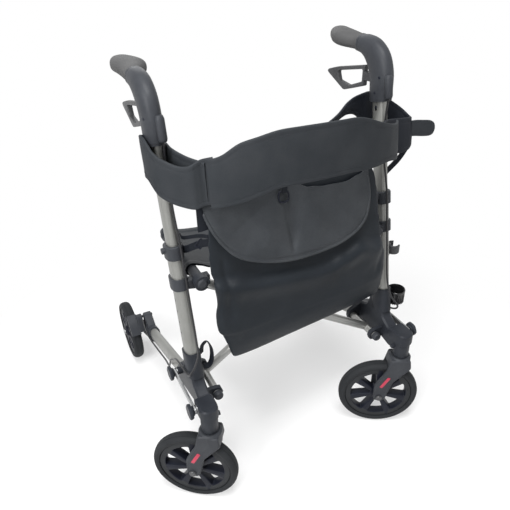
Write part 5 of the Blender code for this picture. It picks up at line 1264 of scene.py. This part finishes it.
def flapPlace(s, x, z, fromHem):
    hang = s["hang"]
    y = hang["top"] - hang["belly"] * math.sin(0.5 * math.pi * (s["top"] - z) / (s["top"] - s["bottom"]))
    y += hang["sides"] * abs((x - hang["middle"]) / hang["half"]) ** 4
    push = foldPush(s["folds"], x, z, True)
    for cx, cz, across, up, rise in s["lobes"]:
        push -= rise * math.exp(-(((x - cx) / across) ** 2) - ((z - cz) / up) ** 2)
    push += ripples(Vector((x, y, z)), s["ripples"])
    dent = s["dent"]
    (tipX, tipZ), (endX, endZ), (least, more) = dent["tip"], dent["end"], dent["width"]
    up = min(max((z - tipZ) / (endZ - tipZ), 0.0), 1.0)
    inside = ease(1.15 - abs(x - tipX - (endX - tipX) * up) / (least + more * up))
    push += dent["depth"] * up ** dent["power"] * inside * (z > tipZ)
    start = s["top"] - s["standOff"]["from"]
    lift = s["standOff"]["depth"] * max(0.0, (start - z) / (start - s["bottom"])) ** 1.6
    least = s["stiffHem"]["share"]
    push *= least + (1 - least) * ease(fromHem / s["stiffHem"]["reach"])
    return Vector((x, y + push - lift, z))


def makeFlap(s):
    hem = catmull([(x, 0, z) for x, z in s["hem"]], s["steps"])
    rows, seam = s["rows"], s["seam"]
    fronts, backs, flatArea = [], [], 0.0
    for r in range(rows + 1):
        front, back = [], []
        for point in hem:
            top = alongTable(s["topEdge"], point.x)
            z = top + (point.z - top) * r / rows
            fromHem = (top - point.z) * (1 - r / rows)
            spot = flapPlace(s, point.x, z, fromHem)
            groove = seam["depth"] * math.exp(-(((fromHem - seam["fromHem"]) / seam["width"]) ** 2))
            front.append(at(spot.x, spot.y + groove, spot.z))
            back.append(at(spot.x, spot.y + s["thickness"], spot.z))
        fronts.append(front)
        backs.append(back)
    rings = [[row[column] for row in fronts + backs[::-1]] for column in range(len(hem))]
    for a, b in zip(hem, hem[1:]):
        flatArea += (b.x - a.x) * (alongTable(s["topEdge"], (a.x + b.x) / 2) - (a.z + b.z) / 2)
    # The flap cloth takes the lighter nylon, painted light where it is lit from above
    cloth = newPiece("bag_flap_cloth", tidyNormals(loft(rings)), paintedLitNylon, "left_frame", ["bag_flap"], sharp=75)
    # The bound hem: a rounded edge all the way round, in the flap's lighter nylon, which is painted light
    (wide, deep), pucker = s["binding"], s["pucker"]
    border = [f + Vector((0, s["thickness"] / 2, 0)) for f in fronts[rows]]
    rings = []
    for i, point in enumerate(border):
        turn = axisFrame(point, aheadAt(border, i), (0, 1, 0))
        size = pucker["ends"] if i in (0, len(border) - 1) else 1.0
        size *= 1 + pucker["depth"] * math.sin(i * pucker["pitch"]) + ripples(point, pucker["layers"])
        rings.append([turn @ p for p in oval(deep * size, wide * size, 16)])
    tape = tidyNormals(loft(rings))
    binding = newPiece("bag_flap_binding", tape, paintedLitNylon, "left_frame", slot="bag_nylon", sharp=75)
    line = [spot - Vector((0, 0.0002, 0)) for spot in fronts[seam["row"]]]
    sewn = stitched("bag_flap_stitch", line, "left_frame")
    for piece in (cloth, binding, sewn):
        foldsWith(piece)
    moreWide, moreTall, fullness = s["spare"]
    round(flatArea * fullness, 4)


makeFlap(flap)

# The ring at the flap's top: a dark loop lying on the cloth with a stitched tab through it
ringPull = {
    "centre": (-0.043, -0.2281, 0.704),
    "reach": 0.0110,
    "wire": 0.0018,
    "tilt": 0.249,
    "tab": {"half": 0.0058, "ahead": 0.0030, "rows": (0.0220, 0.0140, 0.0085)},
    "tabSection": ((-1, 0.0005), (1, 0.0005), (1, -0.0007), (-1, -0.0007)),
}


def makeRing(s):
    turn = axisFrame(at(*s["centre"]), (0, 1, -s["tilt"]))
    rings = []
    for step in range(56):
        out = wayOut(step, 56)
        squared = s["reach"] / max(abs(out.x), abs(out.y)) ** 0.35
        rings.append([turn @ (out * (squared + p.x) + Vector((0, 0, p.y))) for p in oval(s["wire"], s["wire"], 12)])
    wire = tidyNormals(loft(rings, closed=True, caps=False))
    ring = newPiece("pull_ring_made", wire, rimPlastic, "left_frame", ["pull_ring"], sharp=60)
    x, y, z = s["centre"]
    half, y = s["tab"]["half"], y - s["tab"]["ahead"]
    rows = [[at(x + way * half, y + back, z + up) for way, back in s["tabSection"]] for up in s["tab"]["rows"]]
    tab = newPiece("pull_ring_tab", tidyNormals(loft(rows)), darkNylonAndPaintedShade, "left_frame", slot="webbing", sharp=40)
    for piece in (ring, tab):
        foldsWith(piece)


makeRing(ringPull)

# Webbing: hangers from the posts to the bag, the strap up to the band, and the ladder buckle
straps = {
    "bag_hanger_left": ((-0.186, -0.219, 0.640, 0.0085, 0), (-0.2065, -0.196, 0.630, 0.0085, 0),
                        (-0.2302, -0.170, 0.611, 0.0085, 0), (-0.2302, -0.150, 0.609, 0.0085, 0)),
    "bag_hanger_right": ((0.170, -0.219, 0.640, 0.0085, 0), (0.2065, -0.196, 0.630, 0.0085, 0),
                         (0.2302, -0.170, 0.611, 0.0085, 0), (0.2302, -0.150, 0.609, 0.0085, 0)),
    "bag_tie_left": ((-0.192, -0.218, 0.652, 0.0040, 0), (-0.208, -0.196, 0.648, 0.0040, 0),
                     (-0.2302, -0.168, 0.636, 0.0040, 0), (-0.2310, -0.150, 0.634, 0.0040, 0)),
    "bag_lift_strap": ((-0.188, -0.2150, 0.700, 0.0300, 0), (-0.198, -0.2142, 0.697, 0.0300, 0),
                       (-0.208, -0.2128, 0.694, 0.0290, 0), (-0.2145, -0.2115, 0.692, 0.0270, 0)),
}
strapCloth = {"thickness": 0.0022, "binding": 0.0026}
rightLink = ((0.180, -0.214, 0.585), (0.203, -0.206, 0.563), (0.222, -0.196, 0.545), (0.236, -0.182, 0.528))
ribbonSection = ((1, 0.3), (0.93, 1), (0.5, 0.8), (0, 1.1), (-0.5, 0.8), (-0.93, 1), (-1, 0.3),
                 (-1, -0.3), (-0.93, -1), (-0.5, -0.8), (0, -1.1), (0.5, -0.8), (0.93, -1), (1, -0.3))
buckles = {  # centre, way along the strap
    "left": ((-0.2065, -0.1955, 0.630), (0.022, 0.020, -0.006)),
    "right": ((0.2145, -0.191, 0.550), (0.019, 0.010, -0.020)),
}
buckleFrame = ((-0.007, -0.011, 0.002), (0.007, -0.011, 0.002), (0.007, 0.011, 0.002), (-0.007, 0.011, 0.002))
buckleGap = ((-0.0045, -0.0085, 0.001), (-0.0010, -0.0085, 0.001), (-0.0010, 0.0085, 0.001),
             (-0.0045, 0.0085, 0.001))
buckleHalf = 0.0016


# A flat ribbon along a path; its face looks along "facing", turned by "twist" degrees at the start and at the end
def ribbon(name, path, half, facing, body, thick=0.0010, twist=(0, 0), stands=()):
    path = catmull(path, 9)
    rings = []
    for i, point in enumerate(path):
        ahead = aheadAt(path, i)
        angle = math.radians(twist[0] + (twist[1] - twist[0]) * ease(i / (len(path) - 1)))
        wide = Matrix.Rotation(angle, 3, ahead) @ ahead.cross(Vector(facing)).normalized()
        normal = ahead.cross(wide)
        rings.append([at(*(point + wide * half * w + normal * thick * t)) for w, t in ribbonSection])
    return newPiece(name, tidyNormals(loft(rings)), darkNylonAndPaintedShade, body, stands, "webbing", sharp=50)


def makeStraps(s):
    for name, stations in s.items():
        piece, rows = webStrip(name, stations, strapCloth, "left_frame", wrinkle=0.0004, finish=darkNylonAndPaintedShade)
        for one in (piece, *rows):
            foldsWith(one)
    ribbon("band_side_strap", band["sideStrap"], 0.0058, (-0.55, -0.80, 0.25), "right_frame", 0.0012)
    foldsWith(ribbon("bag_right_link", rightLink, 0.0052, (-0.3, -0.9, 0.3), "left_frame"))
    gaps = [roundedOutline(buckleGap), roundedOutline([(-x, y, radius) for x, y, radius in reversed(buckleGap)])]
    for label, (centre, ahead) in buckles.items():
        turn = axisFrame(at(*centre), (math.copysign(0.5, centre[0]), -0.85, 0), ahead)
        buckle = tidyNormals(plate(roundedOutline(buckleFrame), -buckleHalf, buckleHalf, turn, gaps, 0.0007, 2))
        foldsWith(newPiece(f"bag_buckle_{label}", buckle, rimPlastic, "left_frame", slot="webbing", sharp=40))


makeStraps(straps)

# The short webbing loop at the left joint, turned so that its face shows
jointLoop = {
    "path": ((0.0016, -0.206, 0.368), (0.0045, -0.208, 0.390), (0.0150, -0.210, 0.399), (0.0225, -0.212, 0.380),
             (0.0220, -0.212, 0.350), (0.0150, -0.210, 0.332), (0.0022, -0.208, 0.330)),
    "half": 0.0062,
    "thick": 0.0012,
    "twist": (78, 8),
    "facing": (-0.62, -0.70, 0.35),
    "post": 0.018,  # the post's half width, where the path starts
}


def makeJointLoop(s):
    path = [(x - stemTrack + s["post"], y, z) for x, y, z in s["path"]]
    ribbon("strap_loop_made", path, s["half"], s["facing"], "left_frame", s["thick"], s["twist"], ["strap_loop"])


makeJointLoop(jointLoop)
print("bag sewn")

# Seat sling: one sheet that wraps both rails and sags between them
seat = {
    "rail": 0.0113,
    "sheet": 0.0030,
    "hem": {"width": 0.012, "extra": 0.0009, "less": 0.0003, "lift": 0.0002},
    "sag": 0.019,
    "belly": 0.004,
    "freeHalf": 0.2,
    "ripples": ((0.0012, 0.05, 2.2),),
    "front": -0.148,
    "rear": 0.018,
    "bow": {"depth": 0.012, "from": 0.197, "over": 0.014},
    "steps": {"wrap": 28, "across": 40, "along": 48},
    "wrap": (-110, -168),  # where the cloth starts on the rail and how far round it goes, in degrees
}


def makeSeat(s):
    steps, hem, bow, (start, turn) = s["steps"], s["hem"], s["bow"], s["wrap"]
    deep = s["rear"] - s["front"]
    wrap, middle = [], []
    for step in range(steps["wrap"] + 1):
        angle = math.radians(start + turn * step / steps["wrap"])
        wrap.append(Vector((s["rail"] * math.cos(angle) - railTrack, s["rail"] * math.sin(angle) + railHeight)))
    for step in range(steps["across"] + 1):
        x = 2 * step / steps["across"] - 1
        middle.append(Vector((railTrack * x, railHeight + s["rail"] - s["sag"] * (1 - x**4))))
    parts = {
        "seat_cloth": (middle, "left_rail", ["seat_sling"]),
        "seat_hem_left": (wrap, "left_rail", []),
        "seat_hem_right": ([Vector((-p.x, p.y)) for p in reversed(wrap)], "right_rail", []),
    }
    made = {}
    for name, (line, body, stands) in parts.items():
        rings = []
        for step in range(steps["along"] + 1):
            share = step / steps["along"]
            isHem = min(share, 1 - share) * deep < hem["width"]
            thick = s["sheet"] + (hem["extra"] if isHem else -hem["less"]) + (hem["lift"] if stands else 0.0)
            outer, inner = [], []
            for i, p in enumerate(line):
                ahead = aheadAt(line, i)
                bowed = bow["depth"] * (1 - share) * ease((bow["from"] - abs(p.x)) / bow["over"])
                y = s["front"] + deep * share - bowed
                drop = s["belly"] * math.sin(math.pi * share) + ripples(Vector((p.x, y, 0)), s["ripples"])
                drop *= max(0.0, 1 - (p.x / s["freeHalf"]) ** 2)
                q = p + Vector((-ahead.y, ahead.x)) * thick
                inner.append(at(p.x, y, p.y - drop))
                outer.append(at(q.x, y, q.y - drop))
            rings.append(inner + outer[::-1])
        made[name] = newPiece(name, tidyNormals(loft(rings)), nylon, body, stands, nodeSlot["seat_sling"], sharp=65)
    foldsWith(made["seat_cloth"])


makeSeat(seat)

# Brake cables: the sleeve along its route
cable = {
    "radius": 0.0022,
    "rise": {"left": 0.016, "right": 0.0},
    "byPost": 0.243,
    "outside": 0.2712,
    "byLeg": 0.265,
    "stretch": (0.64, 0.80),  # the heights between which it stretches
}


def cableRoute(s, side):
    post, out, leg, rise = s["byPost"], s["outside"], s["byLeg"], s["rise"][side]
    return [
        (post, postY(0.8252) - 0.0380, 0.8252), (post, postY(0.790) - 0.029, 0.790),
        *[(post, postY(z) - 0.02375, z) for z in (0.750, 0.690)],
        *[(post, postY(z) - 0.032, z) for z in (0.630, 0.570, 0.500, 0.420)],
        (post + 0.005, -0.236, 0.376 + rise), (out - 0.0100, -0.244, 0.353 + rise),
        (out - 0.0020, -0.242, 0.339 + rise), (out, -0.234, 0.327 + rise), (out, -0.216, 0.317 + rise),
        (out, -0.190, 0.312 + rise), (out - 0.0005, -0.140, 0.304 + rise / 2), (out - 0.0010, -0.108, 0.284),
        (out - 0.0015, -0.078, 0.258), (leg + 0.0030, -0.048, legZ(-0.048) - 0.012),
        (leg, 0.000, legZ(0.000) - 0.016), (leg, 0.080, legZ(0.080) - 0.016),
        (leg + 0.0030, 0.140, legZ(0.140) - 0.006), (leg + 0.0060, 0.168, 0.163), (leg + 0.0060, 0.196, 0.186),
    ]


def tube(points, radius):
    rings, across = [], Vector((1, 0, 0))
    for i, point in enumerate(points):
        turn = axisFrame(point, aheadAt(points, i), across)
        across = turn.col[0].to_3d()
        rings.append([turn @ spot for spot in oval(radius, radius, 12)])
    return loft(rings)


for side, g in sides.items():
    path = [at(g * p.x, p.y, p.z) for p in catmull(cableRoute(cable, side), 8)]
    sleeve = tidyNormals(tube(path, cable["radius"]))
    piece = newPiece(f"brake_sleeve_{side}", sleeve, cableSleeve, None, [f"brake_cable_{side}"])
    low, high = (tuple(at(g * cable["byPost"], postY(z), z)) for z in cable["stretch"])
    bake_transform(piece)
print("cables run")


# Floor, backdrop and lights
studio = {
    "floorColour": (0.95, 0.95, 0.95),
    "floorHalf": 30,
    "glowNear": 0.42,
    "glowFar": 1.0,
    "nearRadius": 0.42,
    "farRadius": 0.95,
    "aim": (0, 0, 0.45),
    "sky": 0.24,
    "lamps": {  # place, width, power
        "keyLight": ((-2.35, -1.35, 2.10), 1.5, 84),
        "topLight": ((-0.4, -0.8, 3.0), 1.2, 74),
        "fillLight": ((2.2, -1.6, 1.6), 2.0, 5),
        "backLight": ((0.6, 2.3, 2.0), 1.8, 14),
    },
}


# 1 for rays that come from the camera, also by a reflection or through a surface
def seenShare(board):
    camera, glossy, through = (board.add("ShaderNodeLightPath", out=f"Is {kind} Ray")
                               for kind in ("Camera", "Glossy", "Transmission"))
    return board.maths("MAXIMUM", board.maths("MAXIMUM", camera, glossy), through)


def setStudio(s):
    scene = bpy.context.scene
    board = nodeBoard(bpy.data.worlds.new("studioWorld"))
    scene.world = board.owner
    sky = board.add("ShaderNodeMapRange", None, {"Value": seenShare(board), "To Min": s["sky"], "To Max": 1.0})
    light = board.add("ShaderNodeBackground", None, {"Color": (1, 1, 1, 1), "Strength": sky})
    board.add("ShaderNodeOutputWorld", None, {"Surface": light})

    board = materialBoard("paleFloor")
    base = board.add("ShaderNodeBsdfDiffuse", None, {"Color": (*s["floorColour"], 1)})
    glow = board.add("ShaderNodeEmission", None, {"Color": (1, 1, 1, 1), "Strength": 1.0})
    away = board.add("ShaderNodeVectorMath", {"operation": "LENGTH"}, {0: board.place()}, 1)
    away = (away - s["nearRadius"]) / (s["farRadius"] - s["nearRadius"])
    away = board.maths("MINIMUM", board.maths("MAXIMUM", away, 0.0), 1.0)
    share = away * (s["glowFar"] - s["glowNear"]) + s["glowNear"]
    both = board.add("ShaderNodeMixShader", None, {0: seenShare(board) * share, 1: base, 2: glow})
    board.add("ShaderNodeOutputMaterial", None, {"Surface": both})
    mesh = bmesh.new()
    bmesh.ops.create_grid(mesh, x_segments=1, y_segments=1, size=s["floorHalf"])
    floor = placed("floor", meshData("floor", mesh))
    floor.data.materials.append(board.owner)
    floor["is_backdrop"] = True

    for name, (place, size, power) in s["lamps"].items():
        lamp = bpy.data.lights.new(name, "AREA")
        lamp.energy = power
        lamp.size = size
        holder = placed(name, lamp)
        holder.location = place
        holder.rotation_mode = "QUATERNION"
        holder.rotation_quaternion = (Vector(s["aim"]) - Vector(place)).to_track_quat("-Z", "Y")
    scene.view_settings.view_transform = "Standard"


setStudio(studio)
print("studio lit")

low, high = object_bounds()
